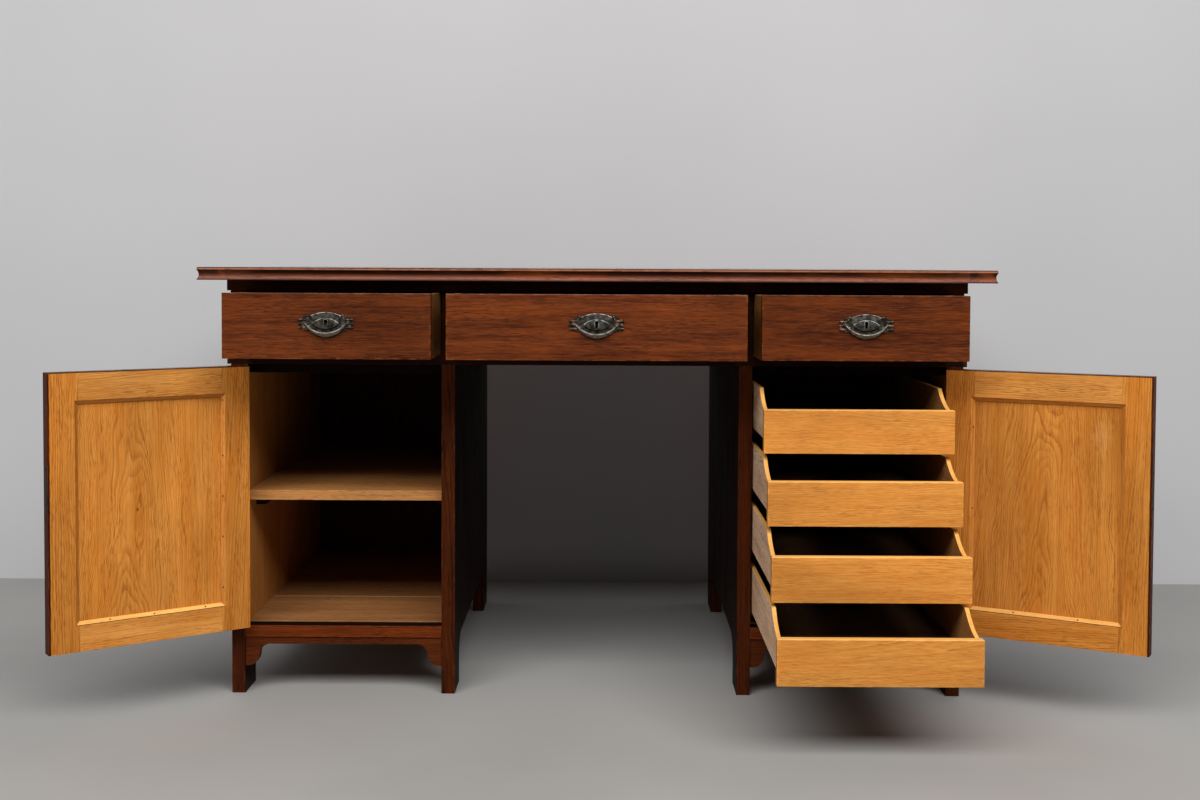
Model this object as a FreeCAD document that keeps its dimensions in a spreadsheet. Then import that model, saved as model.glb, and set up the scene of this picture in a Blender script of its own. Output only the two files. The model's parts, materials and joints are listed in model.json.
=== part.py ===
import FreeCAD, Part
import os
import re
import Sketcher
from FreeCAD import Placement, Rotation, Vector

# A pedestal writing desk in stained oak, millimetres, +Z up, standing on the floor at Z = 0.
# The desk frame used below has X = 0 on the middle of the case and Y = 0 on the front of the case,
# with +Y towards the back. Each node is placed from there into the row frame, whose origin is the
# bottom centre of the box around the whole desk as it stands with doors, drawers and trays open.

TRAYS = 4

SIZES = {
    # Top board
    "desk_height": 780,
    "top_thickness": 23,
    "top_overhang": 48.5,
    "top_cleat_width": 50,
    "top_bead_height": 5,
    "top_lip_height": 1,
    "top_cove_depth": 3,
    "top_edge_round": 3,
    # Case
    "case_width": 1332,
    "case_depth": 757,
    "pedestal_width": 408,
    "side_thickness": 24.5,
    # Frieze
    "frieze_top_rail_height": 19.5,
    "frieze_bottom_rail_height": 18.5,
    "frieze_rail_depth": 45,
    "frieze_back_thickness": 20,
    "drawer_opening_height": 115,
    "moulding_proud": 6.5,
    "runner_width": 26,
    # Pedestal base
    "base_height": 125,
    "front_rail_height": 21.5,
    "front_rail_depth": 29,
    "apron_setback": 3,
    "apron_thickness": 18,
    "apron_strip_height": 13.5,
    "bracket_radius": 20,
    "bracket_nose": 5,
    "front_foot_depth": 82,
    "rear_foot_depth": 98,
    "arch_height": 88,
    "arch_corner_radius": 46,
    # Pedestal inside
    "floor_thickness": 18,
    "floor_rise": 2,
    "floor_front_board_width": 203,
    "pedestal_top_thickness": 17,
    "back_inset": 12,
    "back_thickness": 20,
    "back_stile_width": 55,
    "back_bottom_rail_height": 73,
    "back_top_rail_height": 60,
    "back_panel_thickness": 8,
    "back_groove_depth": 6,
    "inside_clearance": 3.5,
    "shelf_underside": 351,
    "shelf_thickness": 18,
    "shelf_setback": 4,
    "shelf_end_gap": 0.5,
    "batten_size": 18,
    "batten_setback": 60,
    # Doors
    "door_thickness": 22.5,
    "door_gap": 1.5,
    "door_stile_width": 52,
    "door_top_rail_width": 55,
    "door_bottom_rail_width": 51,
    "door_rebate_width": 6.5,
    "door_front_lip": 6.5,
    "door_panel_thickness": 7,
    "door_panel_gap": 0.5,
    "door_bead_width": 6.5,
    "door_bead_thickness": 8,
    "door_bead_edge": 2,
    "left_door_open_angle": 144.3,
    "right_door_open_angle": 150.6,
    # Butt hinges
    "hinge_standoff": 3.4,
    "hinge_barrel_radius": 3,
    "hinge_pin_radius": 1.5,
    "hinge_pin_clearance": 0.05,
    "hinge_length": 60,
    "hinge_end_distance": 62,
    "hinge_knuckle_gap": 0.4,
    "hinge_leaf_depth": 18,
    "hinge_leaf_thickness": 2,
    # Mortise lock and escutcheon of a door
    "door_lock_height": 283,
    "lock_plate_height": 78,
    "lock_plate_width": 14,
    "lock_plate_thickness": 2,
    "lock_case_height": 60,
    "lock_case_depth": 36,
    "lock_case_thickness": 9,
    "escutcheon_height": 46,
    "escutcheon_width": 20,
    "escutcheon_thickness": 1.5,
    "keyhole_radius": 2.8,
    "keyhole_slot_width": 2.6,
    "keyhole_slot_length": 9,
    # Frieze drawers
    "drawer_gap": 1.2,
    "drawer_front_thickness": 20,
    "drawer_edge_round": 0.8,
    "drawer_side_inset": 1,
    "drawer_side_thickness": 11,
    "drawer_side_height": 112,
    "drawer_back_gap": 12,
    "drawer_bottom_thickness": 6,
    "drawer_bottom_rise": 8,
    "running_gap": 0.3,
    "left_drawer_pull": 166,
    "middle_drawer_pull": 173,
    "right_drawer_pull": 151,
    "drawer_lock_width": 62,
    "drawer_lock_height": 44,
    "drawer_lock_thickness": 11,
    # Drawer handles
    "handle_height": 61,
    "drawer_key_rise": 4,
    "plate_half_length": 43,
    "plate_half_height": 19.3,
    "plate_thickness": 2.5,
    "eye_half_length": 22.5,
    "eye_half_height": 9,
    "eye_rise": 2,
    "finger_radius": 2,
    "finger_reach": 46.5,
    "finger_length": 12.5,
    "finger_standoff": 2.1,
    "finger_pitch": 6.6,
    "knob_radius": 3,
    "knob_offset": 29,
    "knob_height": 13.5,
    "knob_standoff": 3.1,
    "lip_half_length": 38,
    "lip_drop": 25,
    "lip_thickness": 2,
    "lip_roundness": 20,
    "lip_rim_half_length": 35.5,
    "lip_rim_drop": 16.5,
    "lip_end_rise": 5,
    # Inner trays
    "tray_width": 325,
    "tray_left_gap": 3,
    "tray_front_thickness": 16,
    "tray_front_gap": 38,
    "tray_edge_round": 2,
    "tray_front_drop": 24,
    "tray_near_inset": 0.5,
    "tray_far_inset": 5,
    "tray_side_thickness": 7,
    "tray_stack_gap": 7,
    "tray_sweep_length": 68,
    "tray_sweep_sag": 5,
    "tray_back_drop": 12,
    "tray_back_gap": 45,
    "tray_bottom_thickness": 6,
    "tray_bottom_rise": 5,
    "tray_floor_clearance": 1,
    "tray_top_clearance": 14,
    "tray_runner_height": 16,
    "tray_runner_spare": 2,
    "tray_runner_front_gap": 1.5,
    "tray_1_pull": 204,
    "tray_2_pull": 271,
    "tray_3_pull": 337,
    "tray_4_pull": 422,
    # How far cutting tools stand past the faces that they cut
    "cut_margin": 5,
}

# Places worked out from the sizes. Later rows may use earlier ones.
PLACES = {
    "case_half": "case_width / 2",
    "opening_outer": "case_half - side_thickness",
    "knee_half": "case_half - pedestal_width",
    "opening_inner": "knee_half + side_thickness",
    "opening_width": "opening_outer - opening_inner",
    "side_drawer_middle": "(opening_outer + opening_inner) / 2",
    "top_half": "case_half + top_overhang",
    "top_rear": "case_depth + top_overhang",
    "top_underside": "desk_height - top_thickness",
    "drawer_top": "top_underside - frieze_top_rail_height",
    "drawer_floor": "drawer_top - drawer_opening_height",
    "frieze_underside": "drawer_floor - frieze_bottom_rail_height",
    "frieze_back_front": "case_depth - frieze_back_thickness",
    "cove_low": "top_underside + top_lip_height",
    "cove_high": "desk_height - top_bead_height",
    "cove_half": "(cove_high - cove_low) / 2",
    "cove_radius": "(cove_half ^ 2 + top_cove_depth ^ 2) / (2 * top_cove_depth)",
    "cove_standoff": "cove_radius - top_cove_depth",
    "front_rail_low": "base_height - front_rail_height",
    "bracket_low": "front_rail_low - apron_strip_height - 2 * bracket_radius",
    "bracket_length": "bracket_nose + 2 * bracket_radius",
    "inside_front": "door_thickness + inside_clearance",
    "back_rear": "case_depth - back_inset",
    "back_front": "back_rear - back_thickness",
    "back_panel_front": "back_front + (back_thickness - back_panel_thickness) / 2",
    "floor_top": "base_height + floor_rise",
    "shelf_top": "shelf_underside + shelf_thickness",
    "door_width": "opening_width - 2 * door_gap",
    "door_bottom": "base_height + door_gap",
    "door_top": "frieze_underside - door_gap",
    "door_near": "door_gap / 2",
    "door_far": "door_near + door_width",
    "door_outside": "hinge_standoff",
    "door_inside": "hinge_standoff + door_thickness",
    "pin_place": "opening_outer - door_gap / 2",
    "rebate_near": "door_near + door_stile_width - door_rebate_width",
    "rebate_far": "door_far - door_stile_width + door_rebate_width",
    "rebate_low": "door_bottom + door_bottom_rail_width - door_rebate_width",
    "rebate_high": "door_top - door_top_rail_width + door_rebate_width",
    "panel_outside": "door_outside + door_front_lip",
    "bead_outside": "panel_outside + door_panel_thickness",
    "lower_hinge": "door_bottom + hinge_end_distance",
    "upper_hinge": "door_top - hinge_end_distance - hinge_length",
    "knuckle_length": "hinge_length / 3",
    "lock_middle": "door_bottom + door_lock_height",
    "lock_face_near": "door_far - lock_plate_thickness",
    "lock_case_near": "lock_face_near - lock_case_depth",
    "lock_key": "lock_face_near - lock_case_depth / 2",
    "lock_depth_middle": "door_outside + door_thickness / 2",
    "left_reach": "pin_place - door_far * cos(left_door_open_angle * 1 deg)"
                  " - door_outside * sin(left_door_open_angle * 1 deg)",
    "right_reach": "pin_place - door_far * cos(right_door_open_angle * 1 deg)"
                   " - door_outside * sin(right_door_open_angle * 1 deg)",
    "drawer_end": "frieze_back_front - drawer_back_gap",
    "drawer_side_low": "drawer_floor + running_gap",
    "drawer_side_high": "drawer_side_low + drawer_side_height",
    "drawer_bottom_low": "drawer_side_low + drawer_bottom_rise",
    "handle_middle": "drawer_floor + drawer_gap + handle_height",
    "drawer_key": "handle_middle + drawer_key_rise",
    "lip_base_radius": "(lip_half_length ^ 2 + lip_drop ^ 2) / (2 * lip_drop)",
    "lip_rise": "lip_base_radius - lip_drop",
    "lip_radius": "sqrt(lip_base_radius ^ 2 + lip_roundness ^ 2)",
    "lip_end_proud": "sqrt(lip_radius ^ 2 - lip_rim_half_length ^ 2 - lip_rise ^ 2) - lip_roundness",
    "lip_middle_proud": "sqrt(lip_radius ^ 2 - (lip_rise + lip_rim_drop) ^ 2) - lip_roundness",
    "lip_slope": "(lip_middle_proud - lip_end_proud) / lip_rim_drop",
    "tray_near": "opening_inner + tray_left_gap",
    "tray_far": "tray_near + tray_width",
    "tray_front_back": "inside_front + tray_front_thickness",
    "tray_end": "back_front - tray_back_gap",
    "tray_ceiling": "frieze_underside - pedestal_top_thickness - tray_top_clearance",
    "tray_base": "floor_top + tray_floor_clearance",
    "tray_pitch": f"(tray_ceiling - tray_base + tray_stack_gap) / {TRAYS}",
    "tray_front_height": "tray_pitch - tray_front_gap",
    "tray_side_height": "tray_pitch - tray_stack_gap - tray_front_drop",
    "tray_back_height": "tray_side_height - tray_back_drop",
    "tray_sweep_rise": "tray_front_drop + tray_side_height - tray_front_height",
    "tray_sweep_chord": "sqrt(tray_sweep_length ^ 2 + tray_sweep_rise ^ 2)",
    "tray_sweep_radius": "(tray_sweep_chord ^ 2 / 4 + tray_sweep_sag ^ 2) / (2 * tray_sweep_sag)",
    "tray_sweep_offset": "(tray_sweep_radius - tray_sweep_sag) / tray_sweep_chord",
    "tray_sweep_back": "tray_sweep_length / 2 - tray_sweep_rise * tray_sweep_offset",
    "tray_sweep_up": "tray_sweep_rise / 2 + tray_sweep_length * tray_sweep_offset",
    "tray_runner_front": "tray_front_back + tray_runner_front_gap",
    "tray_runner_reach": "tray_side_thickness + tray_runner_spare",
    "front_reach": "max(tray_1_pull; tray_2_pull; tray_3_pull; tray_4_pull) - inside_front",
    "origin_x": "(right_reach - left_reach) / 2",
    "origin_y": "(top_rear - front_reach) / 2",
}

HINGES = ("lower_hinge", "upper_hinge")
LEFT, RIGHT = -1, 1
SIDES = {LEFT: "left", RIGHT: "right"}

doc = FreeCAD.newDocument("PedestalDesk")
nodes = []


def qualify(text, own_sheet=""):
    """Name the sheet that each size or place in a formula comes from."""
    def name_sheet(match):
        word = match.group(0)
        if word in SIZES:
            return "Sizes." + word
        if word in PLACES and own_sheet != "Places":
            return "Places." + word
        return word
    return re.sub(r"[a-z][a-z_0-9]*", name_sheet, text)


def make_sheet(name, rows):
    sheet = doc.addObject("Spreadsheet::Sheet", name)
    for row, (alias, content) in enumerate(rows.items(), start=1):
        sheet.set(f"A{row}", alias)
        sheet.set(f"B{row}", content)
        sheet.setAlias(f"B{row}", alias)


make_sheet("Sizes", {alias: str(size) for alias, size in SIZES.items()})
doc.recompute()
make_sheet("Places", {alias: "=" + qualify(formula, "Places") for alias, formula in PLACES.items()})
doc.recompute()


def bind(thing, **formulas):
    """Tie properties to formulas of sizes and places. A double underscore stands for a dot."""
    for path, formula in formulas.items():
        thing.setExpression(path.replace("__", "."), qualify(formula))


def put(thing, x, y, z):
    bind(thing, Placement__Base__x=x, Placement__Base__y=y, Placement__Base__z=z)


def box(x, y, z):
    """A block between (low, high) pairs along X, Y and Z."""
    block = doc.addObject("Part::Box", "Block")
    bind(
        block,
        Length=f"({x[1]}) - ({x[0]})",
        Width=f"({y[1]}) - ({y[0]})",
        Height=f"({z[1]}) - ({z[0]})",
    )
    put(block, x[0], y[0], z[0])
    return block


def rod(axis, radius, start, length):
    """A round bar along +X, +Y or +Z from the middle of its first end."""
    turns = {
        "X": Rotation(Vector(0, 1, 0), 90),
        "Y": Rotation(Vector(1, 0, 0), -90),
        "Z": Rotation(),
    }
    bar = doc.addObject("Part::Cylinder", "Rod")
    bar.Placement = Placement(Vector(), turns[axis])
    bind(bar, Radius=radius, Height=length)
    put(bar, *start)
    return bar


def ball(radius, middle):
    sphere = doc.addObject("Part::Sphere", "Ball")
    bind(sphere, Radius=radius)
    put(sphere, *middle)
    return sphere


def join(*pieces):
    fuse = doc.addObject("Part::MultiFuse", "Join")
    fuse.Shapes = list(pieces)
    fuse.Refine = True
    return fuse


def cut(piece, *tools):
    result = doc.addObject("Part::Cut", "Cut")
    result.Base = piece
    result.Tool = tools[0] if len(tools) == 1 else join(*tools)
    result.Refine = True
    return result


def common(first, second):
    result = doc.addObject("Part::Common", "Common")
    result.Base = first
    result.Tool = second
    return result


def across(side, low, high):
    """A span along X on the right of the desk, or its mirror image on the left."""
    if side == RIGHT:
        return (low, high)
    return (f"-({high})", f"-({low})")


def node(label, pieces, forward="0"):
    """One named sub-part, moved forward by a pull along -Y."""
    group = doc.addObject("Part::Compound", label)
    group.Label = label
    group.Links = pieces
    put(group, "-origin_x", f"-origin_y - ({forward})", "0")
    nodes.append(group)


def door_node(label, pieces, side):
    """One named sub-part of a door, modelled closed about its hinge pin and swung open."""
    group = doc.addObject("Part::Compound", label)
    group.Label = label
    group.Links = pieces
    group.Placement = Placement(Vector(), Rotation(Vector(0, 0, 1), side))
    sign = "" if side == RIGHT else "-"
    bind(group, Placement__Rotation__Angle=f"{sign}{SIDES[side]}_door_open_angle")
    put(group, f"{sign}pin_place - origin_x", "-hinge_standoff - origin_y", "0")
    nodes.append(group)


def rounded_board(plane_role, width, height, thickness, rounding, rounded_face):
    """A board drawn from one corner and padded, with the edges of one face eased."""
    body = doc.addObject("PartDesign::Body", "Board")
    sketch = body.newObject("Sketcher::SketchObject", "Outline")
    plane = [item for item in body.Origin.OriginFeatures if item.Role == plane_role][0]
    sketch.AttachmentSupport = [(plane, "")]
    sketch.MapMode = "FlatFace"
    corners = [Vector(0, 0, 0), Vector(20, 0, 0), Vector(20, 10, 0), Vector(0, 10, 0)]
    for index in range(4):
        sketch.addGeometry(Part.LineSegment(corners[index], corners[(index + 1) % 4]), False)
    for index in range(4):
        sketch.addConstraint(Sketcher.Constraint("Coincident", index, 2, (index + 1) % 4, 1))
    for index, direction in enumerate(("Horizontal", "Vertical", "Horizontal", "Vertical")):
        sketch.addConstraint(Sketcher.Constraint(direction, index))
    sketch.addConstraint(Sketcher.Constraint("Coincident", 0, 1, -1, 1))
    for name, kind, line, formula in (("wide", "DistanceX", 0, width), ("tall", "DistanceY", 1, height)):
        number = sketch.addConstraint(Sketcher.Constraint(kind, line, 1, line, 2, 15))
        sketch.renameConstraint(number, name)
        sketch.setExpression("Constraints." + name, qualify(formula))
    pad = body.newObject("PartDesign::Pad", "Thickness")
    pad.Profile = sketch
    pad.Reversed = plane_role == "XZ_Plane"
    bind(pad, Length=thickness)
    doc.recompute()
    edges = []
    for number, edge in enumerate(pad.Shape.Edges, start=1):
        if all(rounded_face(vertex.Point, pad.Shape.BoundBox) for vertex in edge.Vertexes):
            edges.append(f"Edge{number}")
    fillet = body.newObject("PartDesign::Fillet", "EasedEdges")
    fillet.Base = (pad, edges)
    bind(fillet, Radius=rounding)
    body.Tip = fillet
    return body


def lens(half_length, half_height, middle, depth, upright=False):
    """A pointed oval in the XZ plane, where two round discs overlap, from middle towards +Y."""
    radius = f"(({half_length}) ^ 2 + ({half_height}) ^ 2) / (2 * ({half_height}))"
    x, y, z = middle
    offset = f"({radius} - ({half_height}))"
    if upright:
        starts = ((f"{x} - {offset}", y, z), (f"{x} + {offset}", y, z))
    else:
        starts = ((x, y, f"{z} - {offset}"), (x, y, f"{z} + {offset}"))
    return common(rod("Y", radius, starts[0], depth), rod("Y", radius, starts[1], depth))


def keyhole(x, y, z, depth):
    """A round hole with a slot below it, along +Y."""
    slot = box(
        (f"{x} - keyhole_slot_width / 2", f"{x} + keyhole_slot_width / 2"),
        (y, f"{y} + {depth}"),
        (f"{z} - keyhole_slot_length", z),
    )
    return join(rod("Y", "keyhole_radius", (x, y, z), depth), slot)


def make_top():
    """The top board between two end cleats, with a round nosing over a hollow along every edge."""
    def on_top(point, bounds):
        return abs(point.z - bounds.ZMax) < 1e-6
    slab = rounded_board("XY_Plane", "2 * top_half", "top_rear + top_overhang",
                         "top_thickness", "top_edge_round", on_top)
    put(slab, "-top_half", "-top_overhang", "top_underside")
    middle = "cove_low + cove_half"
    long_start = "-top_half - cut_margin"
    long_length = "2 * (top_half + cut_margin)"
    deep_start = "-top_overhang - cut_margin"
    deep_length = "top_rear + top_overhang + 2 * cut_margin"
    coves = [
        rod("X", "cove_radius", (long_start, "-top_overhang - cove_standoff", middle), long_length),
        rod("X", "cove_radius", (long_start, "top_rear + cove_standoff", middle), long_length),
        rod("Y", "cove_radius", ("-top_half - cove_standoff", deep_start, middle), deep_length),
        rod("Y", "cove_radius", ("top_half + cove_standoff", deep_start, middle), deep_length),
    ]
    moulded = cut(slab, *coves)
    y = (deep_start, "top_rear + cut_margin")
    z = ("top_underside", "desk_height")
    joint = "top_half - top_cleat_width"
    node("top_panel", [common(moulded, box((f"-({joint})", joint), y, z))])
    ends = [common(moulded, box(across(side, joint, "top_half + cut_margin"), y, z)) for side in SIDES]
    node("top_cleats", ends)


def frieze_upright(x):
    """An end or a divider of the frieze, let in behind the two front rails."""
    rear = box(x, ("frieze_rail_depth", "frieze_back_front"), ("frieze_underside", "top_underside"))
    nose = box(x, ("0", "frieze_rail_depth"), ("drawer_floor", "drawer_top"))
    return join(rear, nose)


def make_frieze():
    """The drawer case under the top: ends, dividers, rails, back, side mouldings and drawer runners."""
    upper = ("drawer_top", "top_underside")
    lower = ("frieze_underside", "drawer_floor")
    rail_y = ("0", "frieze_rail_depth")
    full = ("-case_half", "case_half")
    for side, name in SIDES.items():
        node(f"frieze_end_{name}", [frieze_upright(across(side, "opening_outer", "case_half"))])
    dividers = [frieze_upright(across(side, "knee_half", "opening_inner")) for side in SIDES]
    node("frieze_dividers", dividers)
    node("frieze_top_rail", [box(full, rail_y, upper)])
    node("frieze_bottom_rail", [box(full, rail_y, lower)])
    back_y = ("frieze_back_front", "case_depth")
    node("frieze_back", [box(full, back_y, ("frieze_underside", "top_underside"))])
    mouldings = []
    runners = []
    kickers = []
    run_y = ("frieze_rail_depth", "frieze_back_front")
    for side in SIDES:
        for z in (upper, lower):
            strip = across(side, "case_half", "case_half + moulding_proud")
            mouldings.append(box(strip, ("0", "case_depth"), z))
        strips = (
            across(side, "opening_outer - runner_width", "opening_outer"),
            across(side, "opening_inner", "opening_inner + runner_width"),
            across(side, "knee_half - runner_width", "knee_half"),
        )
        for strip in strips:
            runners.append(box(strip, run_y, lower))
            kickers.append(box(strip, run_y, upper))
    node("frieze_side_mouldings", mouldings)
    node("drawer_runners", runners)
    node("drawer_kickers", kickers)


def hinge_recess(side, low):
    """The space of a hinge leaf let into the outer side."""
    return box(
        across(side, "opening_outer", "opening_outer + hinge_leaf_thickness"),
        ("0", "hinge_leaf_depth"),
        (low, f"{low} + hinge_length"),
    )


def arched_side(x):
    """A pedestal side down to the floor, cut away between a front and a rear foot."""
    panel = box(x, ("0", "case_depth"), ("0", "frieze_underside"))
    wide = (f"{x[0]} - cut_margin", f"{x[1]} + cut_margin")
    front_middle = "front_foot_depth + arch_corner_radius"
    rear_middle = "case_depth - rear_foot_depth - arch_corner_radius"
    corner_height = "arch_height - arch_corner_radius"
    length = f"({wide[1]}) - ({wide[0]})"
    arch = (
        box(wide, ("front_foot_depth", "case_depth - rear_foot_depth"), ("-cut_margin", corner_height)),
        box(wide, (front_middle, rear_middle), ("-cut_margin", "arch_height")),
        rod("X", "arch_corner_radius", (wide[0], front_middle, corner_height), length),
        rod("X", "arch_corner_radius", (wide[0], rear_middle, corner_height), length),
    )
    return cut(panel, *arch)


def make_apron(side):
    """The shaped board under the front rail: a flat arch between two ogee brackets."""
    x_near, x_far = across(side, "opening_inner", "opening_outer")
    y = ("apron_setback", "apron_setback + apron_thickness")
    deep = ("apron_setback - cut_margin", "apron_setback + apron_thickness + cut_margin")
    deep_length = "apron_thickness + 2 * cut_margin"
    mid = "bracket_low + bracket_radius"
    board = box((x_near, x_far), y, ("bracket_low", "front_rail_low"))
    under = "bracket_low - cut_margin"
    waste = [
        box((f"{x_near} + bracket_length", f"{x_far} - bracket_length"), deep,
            (under, "bracket_low + 2 * bracket_radius")),
        box((f"{x_near} + bracket_nose + bracket_radius", f"{x_far} - bracket_nose - bracket_radius"), deep,
            (under, mid)),
    ]
    for end, sign in ((x_near, "+"), (x_far, "-")):
        hollow = f"{end} {sign} bracket_length"
        waste.append(rod("Y", "bracket_radius", (hollow, deep[0], mid), deep_length))
        nose = f"{end} {sign} bracket_nose"
        tip = f"{end} {sign} (bracket_nose + bracket_radius)"
        span = (nose, tip) if sign == "+" else (tip, nose)
        below_nose = box(span, deep, (under, mid))
        waste.append(cut(below_nose, rod("Y", "bracket_radius", (nose, deep[0], mid), deep_length)))
    return cut(board, *waste)


def make_back(side):
    """A framed back: two stiles, two rails and a thin panel held in their grooves."""
    y = ("back_front", "back_rear")
    low, high = "front_rail_low", "frieze_underside"
    x_near, x_far = across(side, "opening_inner", "opening_outer")
    field_x = (f"{x_near} + back_stile_width", f"{x_far} - back_stile_width")
    field_z = (f"{low} + back_bottom_rail_height", f"{high} - back_top_rail_height")
    panel = box(
        (f"{field_x[0]} - back_groove_depth", f"{field_x[1]} + back_groove_depth"),
        ("back_panel_front", "back_panel_front + back_panel_thickness"),
        (f"{field_z[0]} - back_groove_depth", f"{field_z[1]} + back_groove_depth"),
    )
    members = (
        box((x_near, field_x[0]), y, (low, high)),
        box((field_x[1], x_far), y, (low, high)),
        box(field_x, y, (low, field_z[0])),
        box(field_x, y, (field_z[1], high)),
    )
    node(f"{SIDES[side]}_back_frame", [cut(member, panel) for member in members])
    return panel


def make_pedestals():
    """Two cupboards, each between an outer and an inner side that stand on the floor."""
    panels, boards, floors, rails, aprons = [], [], [], [], []
    for side, name in SIDES.items():
        recesses = [hinge_recess(side, low) for low in HINGES]
        outer = arched_side(across(side, "opening_outer", "case_half"))
        node(f"{name}_outer_side", [cut(outer, *recesses)])
        node(f"{name}_inner_side", [arched_side(across(side, "knee_half", "opening_inner"))])
        panels.append(make_back(side))
        x = across(side, "opening_inner", "opening_outer")
        boards.append(box(x, ("inside_front", "back_front"),
                          ("frieze_underside - pedestal_top_thickness", "frieze_underside")))
        rails.append(box(x, ("0", "front_rail_depth"), ("front_rail_low", "base_height")))
        aprons.append(make_apron(side))
        seam = "front_rail_depth + floor_front_board_width"
        floor_z = ("floor_top - floor_thickness", "floor_top")
        floors.append(box(x, ("front_rail_depth", seam), floor_z))
        floors.append(box(x, (seam, "back_front"), floor_z))
    node("pedestal_back_panels", panels)
    node("pedestal_top_boards", boards)
    node("pedestal_floors", floors)
    node("pedestal_front_rails", rails)
    node("pedestal_aprons", aprons)


def make_shelf():
    """The one shelf of the left cupboard, on a batten at each side."""
    x = across(LEFT, "opening_inner + shelf_end_gap", "opening_outer - shelf_end_gap")
    y = ("inside_front + shelf_setback", "back_front")
    node("left_shelf", [box(x, y, ("shelf_underside", "shelf_top"))])
    batten_y = ("inside_front + shelf_setback + batten_setback", "back_front")
    batten_z = ("shelf_underside - batten_size", "shelf_underside")
    battens = [
        box(across(LEFT, "opening_inner", "opening_inner + batten_size"), batten_y, batten_z),
        box(across(LEFT, "opening_outer - batten_size", "opening_outer"), batten_y, batten_z),
    ]
    node("left_shelf_battens", battens)


def case_leaf(side, low):
    """The fixed leaf of a butt hinge: flap, two end knuckles and the pin."""
    flap = hinge_recess(side, low)
    sign = "" if side == RIGHT else "-"
    pin = (f"{sign}pin_place", "-hinge_standoff")
    parts = [flap, rod("Z", "hinge_pin_radius", (*pin, low), "hinge_length")]
    end_length = "knuckle_length - hinge_knuckle_gap / 2"
    for start in (low, f"{low} + hinge_length - ({end_length})"):
        parts.append(rod("Z", "hinge_barrel_radius", (*pin, start), end_length))
        parts.append(box(
            across(side, "opening_outer", "opening_outer + hinge_leaf_thickness"),
            ("-hinge_standoff", "0"),
            (start, f"{start} + {end_length}"),
        ))
    return join(*parts)


def door_leaf(side, low):
    """The swinging leaf of a butt hinge, about the pin at X = 0, Y = 0: flap and middle knuckle."""
    u = door_span(side, "door_near", "door_near + hinge_leaf_thickness")
    start = f"{low} + knuckle_length + hinge_knuckle_gap / 2"
    length = "knuckle_length - hinge_knuckle_gap"
    flap = box(u, ("door_outside", "door_outside + hinge_leaf_depth"), (low, f"{low} + hinge_length"))
    knuckle = rod("Z", "hinge_barrel_radius", ("0", "0", start), length)
    web = box(u, ("0", "door_outside"), (start, f"{start} + {length}"))
    bore = rod("Z", "hinge_pin_radius + hinge_pin_clearance", ("0", "0", low), "hinge_length")
    return flap, cut(join(flap, knuckle, web), bore)


def door_span(side, near, far):
    """A span measured from the hinge pin towards the free edge of a closed door."""
    return across(-side, near, far)


def wedge(depth, length, far_length, height, start, turn):
    """A block whose length along its own X changes from one end of its height to the other."""
    block = doc.addObject("Part::Wedge", "Wedge")
    block.Xmin = block.X2min = block.Ymin = block.Zmin = block.Z2min = 0
    bind(block, Xmax=length, X2max=far_length, Ymax=height, Zmax=depth, Z2max=depth)
    block.Placement = Placement(Vector(), turn)
    put(block, *start)
    return block


def mitred_bead(length, start, along, inward):
    """A bead with 45 degree ends, from one corner of the panel's rebate, sloping down to the panel."""
    turn = Rotation(along, inward, along.cross(inward), "XYZ")
    short = f"{length} - door_bead_width"
    bead = wedge("door_bead_thickness", length, short, "door_bead_width", start, turn)
    bind(bead, X2min="door_bead_width", Z2max="door_bead_edge")
    return bead


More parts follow.
